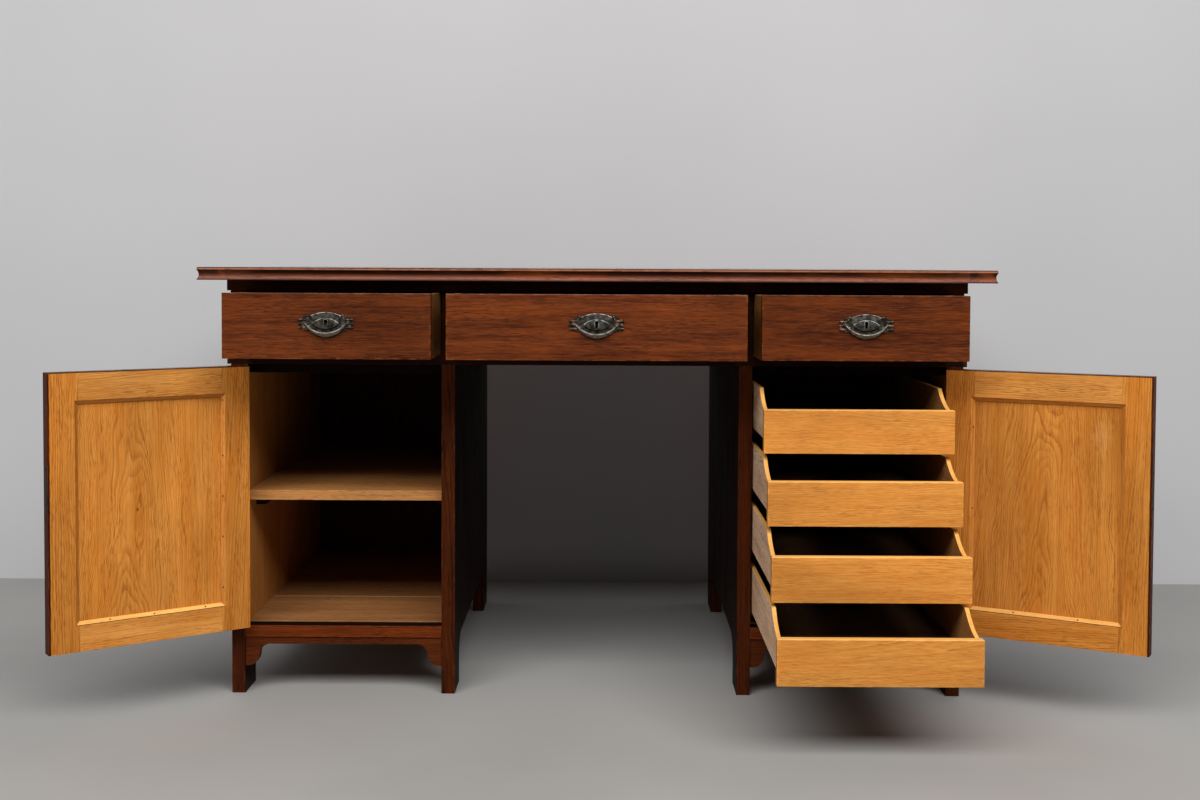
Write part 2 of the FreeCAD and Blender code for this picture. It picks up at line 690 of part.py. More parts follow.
def make_door(side):
    """A framed door with a panel beaded in from the inside, butt hinges and a mortise lock."""
    name = SIDES[side]
    y = ("door_outside", "door_inside")
    z = ("door_bottom", "door_top")
    stile_near = "door_near + door_stile_width"
    stile_far = "door_far - door_stile_width"
    x_low, x_high = door_span(side, "rebate_near", "rebate_far")
    rebate_y = ("panel_outside", "door_inside + cut_margin")
    rebate = box((x_low, x_high), rebate_y, ("rebate_low", "rebate_high"))

    leaves = [door_leaf(side, low) for low in HINGES]
    hinge_board = box(door_span(side, "door_near", stile_near), y, z)
    hinge_stile = cut(hinge_board, rebate, *[flap for flap, leaf in leaves])
    door_node(f"{name}_door_hinge_leaves", [leaf for flap, leaf in leaves], side)

    plate_z = ("lock_middle - lock_plate_height / 2", "lock_middle + lock_plate_height / 2")
    plate_y = ("lock_depth_middle - lock_plate_width / 2", "lock_depth_middle + lock_plate_width / 2")
    case_z = ("lock_middle - lock_case_height / 2", "lock_middle + lock_case_height / 2")
    case_y = ("lock_depth_middle - lock_case_thickness / 2", "lock_depth_middle + lock_case_thickness / 2")
    lock = join(
        box(door_span(side, "lock_face_near", "door_far"), plate_y, plate_z),
        box(door_span(side, "lock_case_near", "lock_face_near"), case_y, case_z),
    )
    key_x = door_span(side, "lock_key", "lock_key")[0]
    outside = "door_outside - escutcheon_thickness"
    oval = lens("escutcheon_height / 2", "escutcheon_width / 2", (key_x, outside, "lock_middle"),
                "escutcheon_thickness", upright=True)
    key_depth = "escutcheon_thickness + door_thickness / 2 - lock_case_thickness / 2"
    key_cut = keyhole(key_x, outside, "lock_middle", key_depth)
    door_node(f"{name}_door_lock", [lock, cut(oval, key_cut)], side)

    free_stile = cut(box(door_span(side, stile_far, "door_far"), y, z), rebate, lock, key_cut)
    rail_x = door_span(side, stile_near, stile_far)
    top_rail = cut(box(rail_x, y, ("door_top - door_top_rail_width", "door_top")), rebate)
    bottom_rail = cut(box(rail_x, y, ("door_bottom", "door_bottom + door_bottom_rail_width")), rebate)
    door_node(f"{name}_door_frame", [hinge_stile, free_stile, top_rail, bottom_rail], side)

    panel = box(
        (f"{x_low} + door_panel_gap", f"{x_high} - door_panel_gap"),
        ("panel_outside", "bead_outside"),
        ("rebate_low + door_panel_gap", "rebate_high - door_panel_gap"),
    )
    door_node(f"{name}_door_panel", [panel], side)

    wide = "(rebate_far - rebate_near)"
    tall = "(rebate_high - rebate_low)"
    right, up = Vector(1, 0, 0), Vector(0, 0, 1)
    beads = [
        mitred_bead(tall, (x_low, "bead_outside", "rebate_low"), up, right),
        mitred_bead(wide, (x_low, "bead_outside", "rebate_high"), right, -up),
        mitred_bead(tall, (x_high, "bead_outside", "rebate_high"), -up, -right),
        mitred_bead(wide, (x_high, "bead_outside", "rebate_low"), -right, up),
    ]
    door_node(f"{name}_door_beads", beads, side)


def handle_lip(x, z):
    """The cupped lip that a hand pulls: part of a hollow ball, cut off at a sloping rim."""
    middle = (x, "lip_roundness", f"{z} + lip_rise")
    shell = cut(ball("lip_radius", middle), ball("lip_radius - lip_thickness", middle))
    depth = "(lip_drop + cut_margin)"
    half_width = "(lip_half_length + cut_margin)"
    below_rim = wedge(
        "2 * " + half_width,
        f"lip_end_proud + lip_slope * {depth}",
        "lip_end_proud - lip_slope * lip_end_rise",
        f"{depth} + lip_end_rise",
        (f"{x} + {half_width}", "0", f"{z} - {depth}"),
        Rotation(Vector(0, -1, 0), Vector(0, 0, 1), Vector(-1, 0, 0), "XYZ"),
    )
    return common(shell, below_rim)


def make_handle(name, x, pull):
    """An oval plate with a keyhole in a raised eye, three fingers at each end and a cupped lip below."""
    z = "handle_middle"
    face = "-plate_thickness"
    eye_face = "-plate_thickness - eye_rise"
    dish = rod("Y", "lip_base_radius - lip_thickness", (x, face, f"{z} + lip_rise"), "plate_thickness")
    below = box((f"{x} - lip_half_length", f"{x} + lip_half_length"), (face, "0"), (f"{z} - lip_drop", z))
    parts = [
        lens("plate_half_length", "plate_half_height", (x, face, z), "plate_thickness"),
        lens("eye_half_length", "eye_half_height", (x, eye_face, z), "eye_rise + plate_thickness"),
        common(dish, below),
        handle_lip(x, z),
    ]
    for sign in ("-", "+"):
        knob = (f"{x} {sign} knob_offset", "-knob_standoff", f"{z} + knob_height")
        parts.append(ball("knob_radius", knob))
        tip = f"{x} - finger_reach" if sign == "-" else f"{x} + finger_reach - finger_length"
        for row in (-1, 0, 1):
            start = (tip, "-finger_standoff", f"{z} + {row} * finger_pitch")
            parts.append(rod("X", "finger_radius", start, "finger_length"))
    key_depth = "plate_thickness + eye_rise + 2 * cut_margin"
    key_cut = keyhole(x, f"{eye_face} - cut_margin", "drawer_key", key_depth)
    node(f"{name}_handle", [cut(join(*parts), key_cut)], pull)


def make_drawer(name, low, high, middle):
    """A frieze drawer: eased front, sides, back and bottom, a lock behind the keyhole, and its handle."""
    pull = f"{name}_drawer_pull"
    label = f"{name}_drawer"

    def on_front(point, bounds):
        return abs(point.y - bounds.YMin) < 1e-6
    wide = f"({high}) - ({low}) - 2 * drawer_gap"
    tall = "drawer_opening_height - 2 * drawer_gap"
    front = rounded_board("XZ_Plane", wide, tall, "drawer_front_thickness", "drawer_edge_round", on_front)
    put(front, f"{low} + drawer_gap", "0", "drawer_floor + drawer_gap")
    key_cut = keyhole(middle, "-cut_margin", "drawer_key", "drawer_front_thickness + 2 * cut_margin")
    node(f"{label}_front", [cut(front, key_cut)], pull)

    outer = (f"{low} + drawer_gap + drawer_side_inset", f"{high} - drawer_gap - drawer_side_inset")
    inner = (f"{outer[0]} + drawer_side_thickness", f"{outer[1]} - drawer_side_thickness")
    y = ("drawer_front_thickness", "drawer_end")
    z = ("drawer_side_low", "drawer_side_high")
    back_y = "drawer_end - drawer_side_thickness"
    box_pieces = [
        box((outer[0], inner[0]), y, z),
        box((inner[1], outer[1]), y, z),
        box(inner, (back_y, "drawer_end"), z),
        box(inner, ("drawer_front_thickness", back_y),
            ("drawer_bottom_low", "drawer_bottom_low + drawer_bottom_thickness")),
    ]
    node(f"{label}_box", box_pieces, pull)

    lock_y = ("drawer_front_thickness", "drawer_front_thickness + drawer_lock_thickness")
    lock_x = (f"{middle} - drawer_lock_width / 2", f"{middle} + drawer_lock_width / 2")
    lock_z = ("handle_middle - drawer_lock_height / 2", "handle_middle + drawer_lock_height / 2")
    node(f"{label}_lock", [box(lock_x, lock_y, lock_z)], pull)
    make_handle(label, middle, pull)


def make_tray(number):
    """An inner tray of the right cupboard: low front, and sides that sweep up behind it."""
    pull = f"tray_{number}_pull"
    low = f"tray_base + {TRAYS - number} * tray_pitch"

    def on_upper_front(point, bounds):
        return abs(point.z - bounds.ZMax) < 1e-6
    front = rounded_board("XZ_Plane", "tray_width", "tray_front_height", "tray_front_thickness",
                          "tray_edge_round", on_upper_front)
    put(front, "tray_near", "inside_front", low)
    node(f"tray_{number}_front", [front], pull)

    side_z = (f"{low} + tray_front_drop", f"{low} + tray_front_drop + tray_side_height")
    y = ("tray_front_back", "tray_end")
    near = ("tray_near + tray_near_inset", "tray_near + tray_near_inset + tray_side_thickness")
    far = ("tray_far - tray_far_inset - tray_side_thickness", "tray_far - tray_far_inset")
    pieces = []
    for x in (near, far):
        sweep_height = f"{low} + tray_front_height + tray_sweep_up"
        sweep_start = (f"{x[0]} - cut_margin", "tray_front_back + tray_sweep_back", sweep_height)
        sweep = rod("X", "tray_sweep_radius", sweep_start, "tray_side_thickness + 2 * cut_margin")
        pieces.append(cut(box(x, y, side_z), sweep))
    back_y = "tray_end - tray_side_thickness"
    inner = (near[1], far[0])
    bottom_low = f"{side_z[0]} + tray_bottom_rise"
    pieces.append(box(inner, (back_y, "tray_end"), (side_z[0], f"{side_z[0]} + tray_back_height")))
    bottom_z = (bottom_low, f"{bottom_low} + tray_bottom_thickness")
    pieces.append(box(inner, ("tray_front_back", back_y), bottom_z))
    node(f"tray_{number}_box", pieces, pull)

    runner_high = f"{side_z[0]} - running_gap"
    runner_z = (f"{runner_high} - tray_runner_height", runner_high)
    runner_y = ("tray_runner_front", "back_front")
    inner_edge = "tray_far - tray_far_inset - tray_runner_reach"
    return [
        box(("opening_inner", "tray_near + tray_near_inset + tray_runner_reach"), runner_y, runner_z),
        box((inner_edge, "tray_far"), runner_y, runner_z),
        box(("tray_far", "opening_outer"), runner_y, runner_z),
    ]


def check_and_export():
    doc.recompute()
    for item in doc.Objects:
        if "Invalid" in item.State or "Error" in item.State:
            raise RuntimeError(f"{item.Name} ({item.Label}) failed: {item.State}")
    for item in nodes:
        if item.Shape.isNull() or not item.Shape.isValid() or not item.Shape.Solids:
            raise RuntimeError(f"{item.Label} has no valid solid")
    os.makedirs("parts", exist_ok=True)
    for item in nodes:
        item.Shape.exportStep(f"parts/{item.Label}.step")


make_top()
make_frieze()
make_pedestals()
make_shelf()
node("door_hinge_case_leaves", [case_leaf(side, low) for side in SIDES for low in HINGES])
for door_side in SIDES:
    make_door(door_side)
make_drawer("left", "-opening_outer", "-opening_inner", "-side_drawer_middle")
make_drawer("middle", "-knee_half", "knee_half", "0")
make_drawer("right", "opening_inner", "opening_outer", "side_drawer_middle")
tray_runners = [runner for number in range(1, TRAYS + 1) for runner in make_tray(number)]
node("tray_runners", tray_runners)
check_and_export()
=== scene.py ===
import json
import math
import random
import zlib

import bmesh
import bpy
from mathutils import Matrix, Vector

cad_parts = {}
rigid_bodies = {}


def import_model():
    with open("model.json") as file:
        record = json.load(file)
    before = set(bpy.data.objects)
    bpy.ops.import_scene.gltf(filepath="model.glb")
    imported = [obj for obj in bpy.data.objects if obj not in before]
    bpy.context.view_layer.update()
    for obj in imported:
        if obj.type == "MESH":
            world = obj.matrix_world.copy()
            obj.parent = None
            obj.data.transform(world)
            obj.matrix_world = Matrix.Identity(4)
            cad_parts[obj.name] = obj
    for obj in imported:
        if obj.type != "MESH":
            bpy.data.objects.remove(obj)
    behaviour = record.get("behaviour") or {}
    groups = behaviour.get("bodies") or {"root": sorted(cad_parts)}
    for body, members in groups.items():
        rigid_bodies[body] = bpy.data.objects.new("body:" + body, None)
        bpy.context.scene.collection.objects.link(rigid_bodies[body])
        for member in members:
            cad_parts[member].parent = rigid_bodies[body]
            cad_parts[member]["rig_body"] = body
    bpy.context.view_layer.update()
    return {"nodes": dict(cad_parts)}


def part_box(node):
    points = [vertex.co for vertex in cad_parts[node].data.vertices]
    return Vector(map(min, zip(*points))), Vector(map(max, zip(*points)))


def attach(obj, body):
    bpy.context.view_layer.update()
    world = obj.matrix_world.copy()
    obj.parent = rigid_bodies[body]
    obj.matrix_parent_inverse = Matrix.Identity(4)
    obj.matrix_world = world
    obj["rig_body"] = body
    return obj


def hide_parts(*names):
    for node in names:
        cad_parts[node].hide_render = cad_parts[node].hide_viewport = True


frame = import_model()
scene = bpy.context.scene

# Camera fitted to the photograph, metres and radians
CAMERA_PLACE = Vector((0.000445, -2.92725, 0.7862))
CAMERA_YAW, CAMERA_PITCH, CAMERA_ROLL = -0.0022, -0.0376, 0.0047
CAMERA_LENS, CAMERA_SENSOR = 45.009, 36.0
CAMERA_SHIFT_Y = -0.06525

# How far each door is swung from shut, degrees about +Z
DOOR_TURN = {"left": -144.3, "right": 150.6}
# The height of a cupboard's floor, and the line behind which a floor board is the rear one
CUPBOARD_FLOOR, REAR_BOARD = 0.126, -0.105
# Lower rails and beads of a door lie below this height
DOOR_FOOT = 0.3
# A face looks along an axis when its normal has more than this of it
FACING = 0.5
# The top's upper face looks well up, and lies within this of the highest point
TOP_FACING, TOP_SKIN = 0.7, 0.002
X, Y, Z = 0, 1, 2


def srgb(red, green, blue):
    """A colour written in display values from 0 to 255, as linear light."""
    def linear(value):
        value = value / 255.0
        return value / 12.92 if value <= 0.04045 else ((value + 0.055) / 1.055) ** 2.4
    return (linear(red), linear(green), linear(blue), 1.0)


class Graph:
    """Nodes of a material or of the sky, added by calls that return output sockets."""

    def __init__(self, name, store="materials"):
        self.owner = getattr(bpy.data, store).new(name)
        self.owner.use_nodes = True
        self.tree = self.owner.node_tree
        self.tree.nodes.clear()

    def fill(self, socket, value):
        if isinstance(value, bpy.types.NodeSocket):
            self.tree.links.new(value, socket)
        else:
            socket.default_value = value

    def add(self, kind, settings=None, **inputs):
        node = self.tree.nodes.new(kind)
        for key, value in (settings or {}).items():
            setattr(node, key, value)
        for key, value in inputs.items():
            self.fill(node.inputs[key.replace("_", " ")], value)
        return node

    def work_out(self, kind, settings, values, sockets=(0, 1, 2)):
        node = self.add(kind, settings)
        for socket, value in zip(sockets, values):
            self.fill(node.inputs[socket], value)
        return node.outputs

    def math(self, operation, *values):
        return self.work_out("ShaderNodeMath", {"operation": operation}, values)[0]

    def product(self, *values):
        result = values[0]
        for value in values[1:]:
            result = self.math("MULTIPLY", result, value)
        return result

    def length(self, x, y):
        return self.math("SQRT", self.math("ADD", self.product(x, x), self.product(y, y)))

    def vector(self, operation, *values):
        outputs = self.work_out("ShaderNodeVectorMath", {"operation": operation}, values)
        return outputs["Value" if operation == "LENGTH" else "Vector"]

    def split(self, vector):
        return self.add("ShaderNodeSeparateXYZ", Vector=vector).outputs

    def attribute(self, name):
        return self.add("ShaderNodeAttribute", {"attribute_name": name}).outputs["Vector"]

    def noise(self, vector, stretch, detail=2.0, roughness=0.5):
        scaled = self.vector("MULTIPLY", vector, stretch)
        node = self.add("ShaderNodeTexNoise", Vector=scaled, Scale=1.0, Detail=detail, Roughness=roughness)
        return node.outputs[0]

    def streaks(self, grain, cells, detail, roughness=0.5):
        """Noise with so many cells in a metre along the grain and across it."""
        along, across = cells
        return self.noise(grain, (along, across, across), detail, roughness)

    def chance(self, value):
        """A number from 0 to 1 that is random, but the same each time, for each value."""
        return self.add("ShaderNodeTexWhiteNoise", {"noise_dimensions": "1D"}, W=value).outputs["Value"]

    def hollow(self, distance):
        """Near 0 in corners and hollows, 1 in the open."""
        return self.add("ShaderNodeAmbientOcclusion", {"samples": 8}, Distance=distance).outputs["AO"]

    def ease(self, value, start, end, low=0.0, high=1.0):
        """A smooth step from low to high as the value goes from start to end."""
        node = self.add("ShaderNodeMapRange", {"interpolation_type": "SMOOTHSTEP"}, Value=value,
                        From_Min=start, From_Max=end, To_Min=low, To_Max=high)
        return node.outputs[0]

    def mix(self, factor, first, second, blend="MIX"):
        settings = {"data_type": "RGBA", "blend_type": blend}
        return self.work_out("ShaderNodeMix", settings, (factor, first, second), (0, 6, 7))[2]

    def blend(self, factor, first, second):
        """A number between two others."""
        return self.work_out("ShaderNodeMix", {"data_type": "FLOAT"}, (factor, first, second), (0, 2, 3))[0]

    def darken(self, colour, shade):
        grey = self.add("ShaderNodeCombineColor", Red=shade, Green=shade, Blue=shade).outputs[0]
        return self.mix(1.0, colour, grey, blend="MULTIPLY")

    def principled(self, height=None, distance=0.0, strength=0.0, **inputs):
        shader = self.add("ShaderNodeBsdfPrincipled", **inputs)
        if height is not None:
            bump = self.add("ShaderNodeBump", Height=height, Distance=distance, Strength=strength)
            self.fill(shader.inputs["Normal"], bump.outputs[0])
        return shader.outputs[0]

    def done(self, shader, output="ShaderNodeOutputMaterial"):
        self.add(output, Surface=shader)
        return self.owner


def wood(light, body, early, pore, worn, warm, **looks):
    """Colours of one kind of oak in display values, and how strongly its features show."""
    colours = {"light": light, "body": body, "early": early, "pore": pore, "worn": worn, "warm": warm}
    kind = {"roughness": 0.5, "wear": 0.5, "rings": 0.4, "ticks": 0.6, "flame": 0.4, "specular": 0.2,
            "dirt": 0.0, "streak": (9.0, 340.0)}
    kind.update(looks)
    kind.update({key: srgb(*value) for key, value in colours.items()})
    return kind


# Stained outside
STAINED = wood((80, 35, 12), (52, 20, 6), (31, 11, 5), (14, 6, 4), (104, 58, 32), (90, 39, 11),
               roughness=0.42, wear=0.45, rings=0.7, ticks=0.8, specular=0.04)
# Stained oak darkened as painted shade, for rails, dividers and battens that lie in shade
SHADED = wood((44, 19, 9), (30, 13, 7), (21, 9, 5), (11, 5, 3), (76, 42, 24), (52, 23, 9),
              roughness=0.45, wear=0.3, rings=0.5, ticks=0.8, specular=0.04)
# Near-black oak, painted shade for kneehole faces, rail tops and hidden inner parts
KNEE_SHADE = wood((26, 12, 7), (18, 8, 5), (12, 6, 4), (7, 4, 3), (46, 25, 15), (28, 13, 7), wear=0.25,
            specular=0.02)
RAIL = wood((118, 52, 15), (90, 36, 10), (52, 19, 7), (26, 10, 4), (136, 74, 34), (130, 60, 18),
            roughness=0.42, wear=0.4, rings=0.9, ticks=0.8, specular=0.05, streak=(10.0, 240.0))
APRON = wood((90, 40, 14), (66, 28, 10), (46, 18, 8), (24, 9, 5), (114, 62, 30), (98, 44, 15),
             roughness=0.42, wear=0.35, rings=0.5, ticks=0.8, specular=0.05)
FRONT = wood((112, 54, 23), (57, 23, 9), (46, 18, 8), (24, 10, 6), (146, 86, 48), (124, 58, 18),
             roughness=0.38, rings=0.3, ticks=0.8, specular=0.07, streak=(24.0, 320.0))
TOP_EDGE = wood((128, 62, 29), (92, 41, 18), (60, 26, 12), (26, 12, 7), (172, 108, 72), (150, 72, 27),
                roughness=0.32, wear=0.2, rings=0.45, ticks=0.8, specular=0.2, dirt=0.85)
TOP_FACE = wood((84, 38, 17), (62, 26, 11), (44, 18, 8), (22, 9, 5), (120, 70, 42), (98, 45, 17),
                roughness=0.42, wear=0.4, rings=0.5, ticks=0.8, specular=0.16)
# Pale inside
DOOR = wood((214, 144, 66), (192, 118, 44), (158, 86, 26), (124, 64, 18), (222, 158, 84), (194, 112, 32),
            wear=0.4, rings=0.7, ticks=0.7, flame=0.5, streak=(7.0, 330.0))
DOOR_RAIL = wood((222, 156, 80), (202, 130, 58), (170, 100, 38), (130, 72, 24), (228, 168, 98),
                 (202, 124, 46), wear=0.4, rings=0.6, ticks=0.7, flame=0.5, streak=(20.0, 330.0))
PALE = wood((218, 149, 67), (194, 122, 47), (178, 102, 34), (140, 78, 26), (236, 182, 104), (202, 120, 40),
            roughness=0.52, rings=0.35, streak=(26.0, 330.0))
# Bright oak: the newer bottom beads, and tray tops where it is wear and painted light
BRIGHT = wood((242, 184, 102), (232, 168, 84), (216, 148, 64), (168, 104, 42), (250, 200, 124),
              (230, 160, 72), roughness=0.52, wear=0.4, rings=0.3, ticks=0.5, specular=0.22)
# Outer tray sides: greyed wood, painted lighter for the light that falls on them
GREYED_AND_LIT = wood((244, 208, 176), (224, 184, 150), (186, 146, 112), (120, 90, 70), (240, 196, 150),
              (196, 148, 106), roughness=0.62, wear=0.4, rings=0.75, ticks=0.8, flame=0.6, specular=0.15)
# Inner faces of trays: browner and darker as painted shade
TRAY_INNER_SHADE = wood((176, 122, 68), (152, 102, 54), (132, 84, 42), (92, 56, 28), (206, 152, 90), (156, 100, 46),
                  roughness=0.6, specular=0.15)
AGED = wood((104, 74, 48), (86, 60, 38), (70, 47, 29), (44, 29, 18), (130, 94, 60), (92, 60, 34),
            roughness=0.66, wear=0.3, specular=0.12)
CUPBOARD = wood((190, 128, 66), (168, 108, 50), (146, 88, 36), (104, 60, 24), (206, 148, 82), (172, 106, 44),
                roughness=0.52, wear=0.4, specular=0.18)
SHELF = wood((200, 143, 84), (180, 121, 64), (150, 93, 44), (100, 62, 34), (222, 168, 106), (180, 116, 58),
             roughness=0.54, rings=0.6, ticks=0.8, flame=0.5)
FLOOR = wood((166, 116, 70), (142, 96, 54), (116, 75, 40), (80, 50, 28), (196, 148, 96), (146, 92, 46),
             wear=0.2, rings=0.55, ticks=0.8, flame=0.5, specular=0.25)
DRAWER_SIDE = wood((132, 88, 42), (112, 72, 32), (92, 56, 24), (62, 38, 18), (160, 112, 62), (118, 72, 28),
                   roughness=0.6, wear=0.4, specular=0.12)
BLACK = srgb(9, 5, 4)
# Growth rings: a year's width, waver and early share, and the weakest ring's strength
RING_WIDTH, RING_SHIVER, EARLY_SHARE, WEAKEST_RING = 0.0026, 0.0018, 0.75, 0.2
# Cells in a metre along the grain and across it
SWAY, SHIVER, BROAD, TICKS = (3.2, 13.0), (20.0, 120.0), (2.4, 80.0), (62.0, 560.0)
CROWD, BLOTCH, FLAME, NIBBLE = (8.0, 40.0), (3.2, 9.0), (5.0, 30.0), (60.0, 90.0)
# Where the noise of each starts to show and where it is full, and how thin and thick pores crowd
FINE_RANGE, BROAD_RANGE, TICK_RANGE, FLAME_RANGE = (0.34, 0.66), (0.3, 0.7), (0.48, 0.64), (0.42, 0.68)
BLOTCH_RANGE, NIBBLE_RANGE, CROWD_RANGE, CROWDS = (0.25, 0.75), (0.44, 0.74), (0.35, 0.65), (0.3, 1.0)
# How much of the fibre is broad, how far in from an edge wood is rubbed, and how late wood shows its pores
BROAD_SHARE, RUB_REACH, LATE_PORES = 0.4, 0.0045, 0.5
# Shade of blotches, of the darkest board and between boards, and roughness of pores and blotches
BLOTCH_SHADES, DARKEST_BOARD, BOARD_SHADES = (0.84, 1.16), 0.92, 0.16
PORE_ROUGHNESS, BLOTCH_ROUGHNESS = 0.22, 0.2
# Depth of the relief, and what pores, fibres and early wood add to it
RELIEF, RELIEF_STRENGTH = 0.00025, 0.5
PORE_RELIEF, FIBRE_RELIEF, EARLY_RELIEF = -1.0, 0.25, -0.3
# The ragged border between stained and pale wood, and its softness at a face, floor or front
RAGGED, RAGGED_LEAST = 0.0016, 0.0004
FACE_SOFT, FLOOR_SOFT, FRONT_SOFT = 0.0004, 0.0005, 0.0006
# Spots: how much the cloud frays them, and where they end and are full
SPOT_FRAY, SPOT_ENDS, SPOT_FULL = 1.6, 1.75, 0.9
# Rubbed strip along the joint between the cupboard floor's boards
JOINT_WIDTH, JOINT_RUB = 0.007, 0.8
# Dirt and painted shadow along the lower edge of a newer bead, and painted shade below a cupboard's floor
# with its soft borders
SEAT_WIDTH, SEAT_DIRT_AND_SHADE = 0.0012, srgb(24, 12, 5)
UNDER_SHADE, UNDER_FACE, UNDER_FLOOR = 0.85, (0.001, 0.0005), (0.0, -0.001)
# Share of a strip's width that is full, inside its soft border
STRIP_FULL = 0.7
# Bands round the top's edge, metres below the top face: a darker arris, a bead lightened by wear and painted
# highlight, and a cove darkened by dirt and painted shade under the bead
ARRIS_ENDS, BEAD_ENDS, COVE_FADES, COVE_ENDS = 0.0026, 0.0048, 0.0100, 0.0165
BAND_EASE, LIP_HEIGHT = 0.0008, 0.0022
ARRIS_DARK, LIP_DARK, LEAST_COVE_SHADE_AND_DIRT = 0.55, 0.8, 0.4
BEAD_RANGE, BEAD_RUB_AND_HIGHLIGHT = (0.3, 0.6), (0.35, 0.9)


def oak_masks(g, streak):
    """Where the growth rings, pores, fibres, blotches and rubbed edges of a board lie."""
    grain = g.attribute("grain")
    across, depth, tint = g.split(g.attribute("rings"))
    sway = g.streaks(grain, SWAY, 2.0)
    shiver = g.streaks(grain, SHIVER, 2.0)
    radius = g.math("MULTIPLY_ADD", sway, g.split(g.attribute("wave"))[0], g.length(across, depth))
    radius = g.math("MULTIPLY_ADD", shiver, RING_SHIVER, radius)
    years = g.math("DIVIDE", radius, RING_WIDTH)
    strength = g.blend(g.chance(g.math("FLOOR", years)), WEAKEST_RING, 1.0)
    early = g.product(g.ease(g.math("FRACT", years), EARLY_SHARE, 0.0), strength)
    fine = g.ease(g.streaks(grain, streak, 3.0, roughness=0.65), *FINE_RANGE)
    broad = g.ease(g.streaks(grain, BROAD, 3.0), *BROAD_RANGE)
    ticks = g.ease(g.streaks(grain, TICKS, 1.0), *TICK_RANGE)
    crowd = g.ease(g.streaks(grain, CROWD, 2.0), *CROWD_RANGE, *CROWDS)
    blotch = g.streaks(grain, BLOTCH, 3.0)
    flame = g.ease(g.streaks(grain, FLAME, 4.0, roughness=0.6), *FLAME_RANGE)
    nearest = g.split(g.vector("MINIMUM", g.attribute("low"), g.attribute("high")))
    smaller = g.math("MINIMUM", nearest[0], nearest[1])
    larger = g.math("MAXIMUM", nearest[0], nearest[1])
    edge = g.math("MAXIMUM", smaller, g.math("MINIMUM", larger, nearest[2]))
    nibble = g.streaks(grain, NIBBLE, 3.0)
    rubbed = g.ease(edge, g.product(g.ease(nibble, *NIBBLE_RANGE), RUB_REACH), 0.0)
    fibre = g.blend(BROAD_SHARE, fine, broad)
    return {
        "early": early, "fibre": fibre, "flame": flame, "blotch": blotch, "tint": tint,
        "pores": g.product(ticks, crowd, g.math("MULTIPLY_ADD", early, 1.0 - LATE_PORES, LATE_PORES)),
        "rubbed": rubbed, "nibble": nibble,
    }


def oak_colour(g, masks, kind):
    """Base colour and roughness of one kind of oak."""
    colour = g.mix(masks["fibre"], kind["body"], kind["light"])
    colour = g.mix(g.product(masks["flame"], kind["flame"]), colour, kind["warm"])
    colour = g.mix(g.product(masks["early"], kind["rings"]), colour, kind["early"])
    colour = g.mix(g.product(masks["pores"], kind["ticks"]), colour, kind["pore"])
    shade = g.ease(masks["blotch"], *BLOTCH_RANGE, *BLOTCH_SHADES)
    board_shade = g.math("MULTIPLY_ADD", masks["tint"], BOARD_SHADES, DARKEST_BOARD)
    colour = g.darken(colour, g.product(shade, board_shade))
    colour = g.mix(g.product(masks["rubbed"], kind["wear"]), colour, kind["worn"])
    if kind["dirt"]:
        # Painted shade and dirt in the cove under the bead, darker lines at the arris and lip, and a bead
        # lightened by wear and painted highlight
        below, above = g.split(g.attribute("high"))[2], g.split(g.attribute("low"))[2]
        bead = g.product(g.ease(below, ARRIS_ENDS - BAND_EASE, ARRIS_ENDS),
                         g.ease(below, BEAD_ENDS, BEAD_ENDS - BAND_EASE))
        rub = g.ease(masks["nibble"], *BEAD_RANGE, *BEAD_RUB_AND_HIGHLIGHT)
        colour = g.mix(g.product(bead, rub), colour, kind["worn"])
        patchy = g.ease(masks["flame"], 0.0, 1.0, kind["dirt"], LEAST_COVE_SHADE_AND_DIRT)
        cove = g.product(g.ease(below, BEAD_ENDS - BAND_EASE, BEAD_ENDS), patchy,
                         g.ease(below, COVE_ENDS, COVE_FADES))
        arris = g.product(g.ease(below, ARRIS_ENDS, ARRIS_ENDS - BAND_EASE), ARRIS_DARK)
        lip = g.product(g.ease(above, LIP_HEIGHT, LIP_HEIGHT - BAND_EASE), LIP_DARK)
        colour = g.mix(g.math("MAXIMUM", g.math("MAXIMUM", arris, lip), cove), colour, BLACK)
    roughness = g.math("MULTIPLY_ADD", masks["pores"], PORE_ROUGHNESS, kind["roughness"])
    blotch = g.math("SUBTRACT", masks["blotch"], 0.5)
    roughness = g.math("MULTIPLY_ADD", blotch, BLOTCH_ROUGHNESS, roughness)
    return colour, roughness


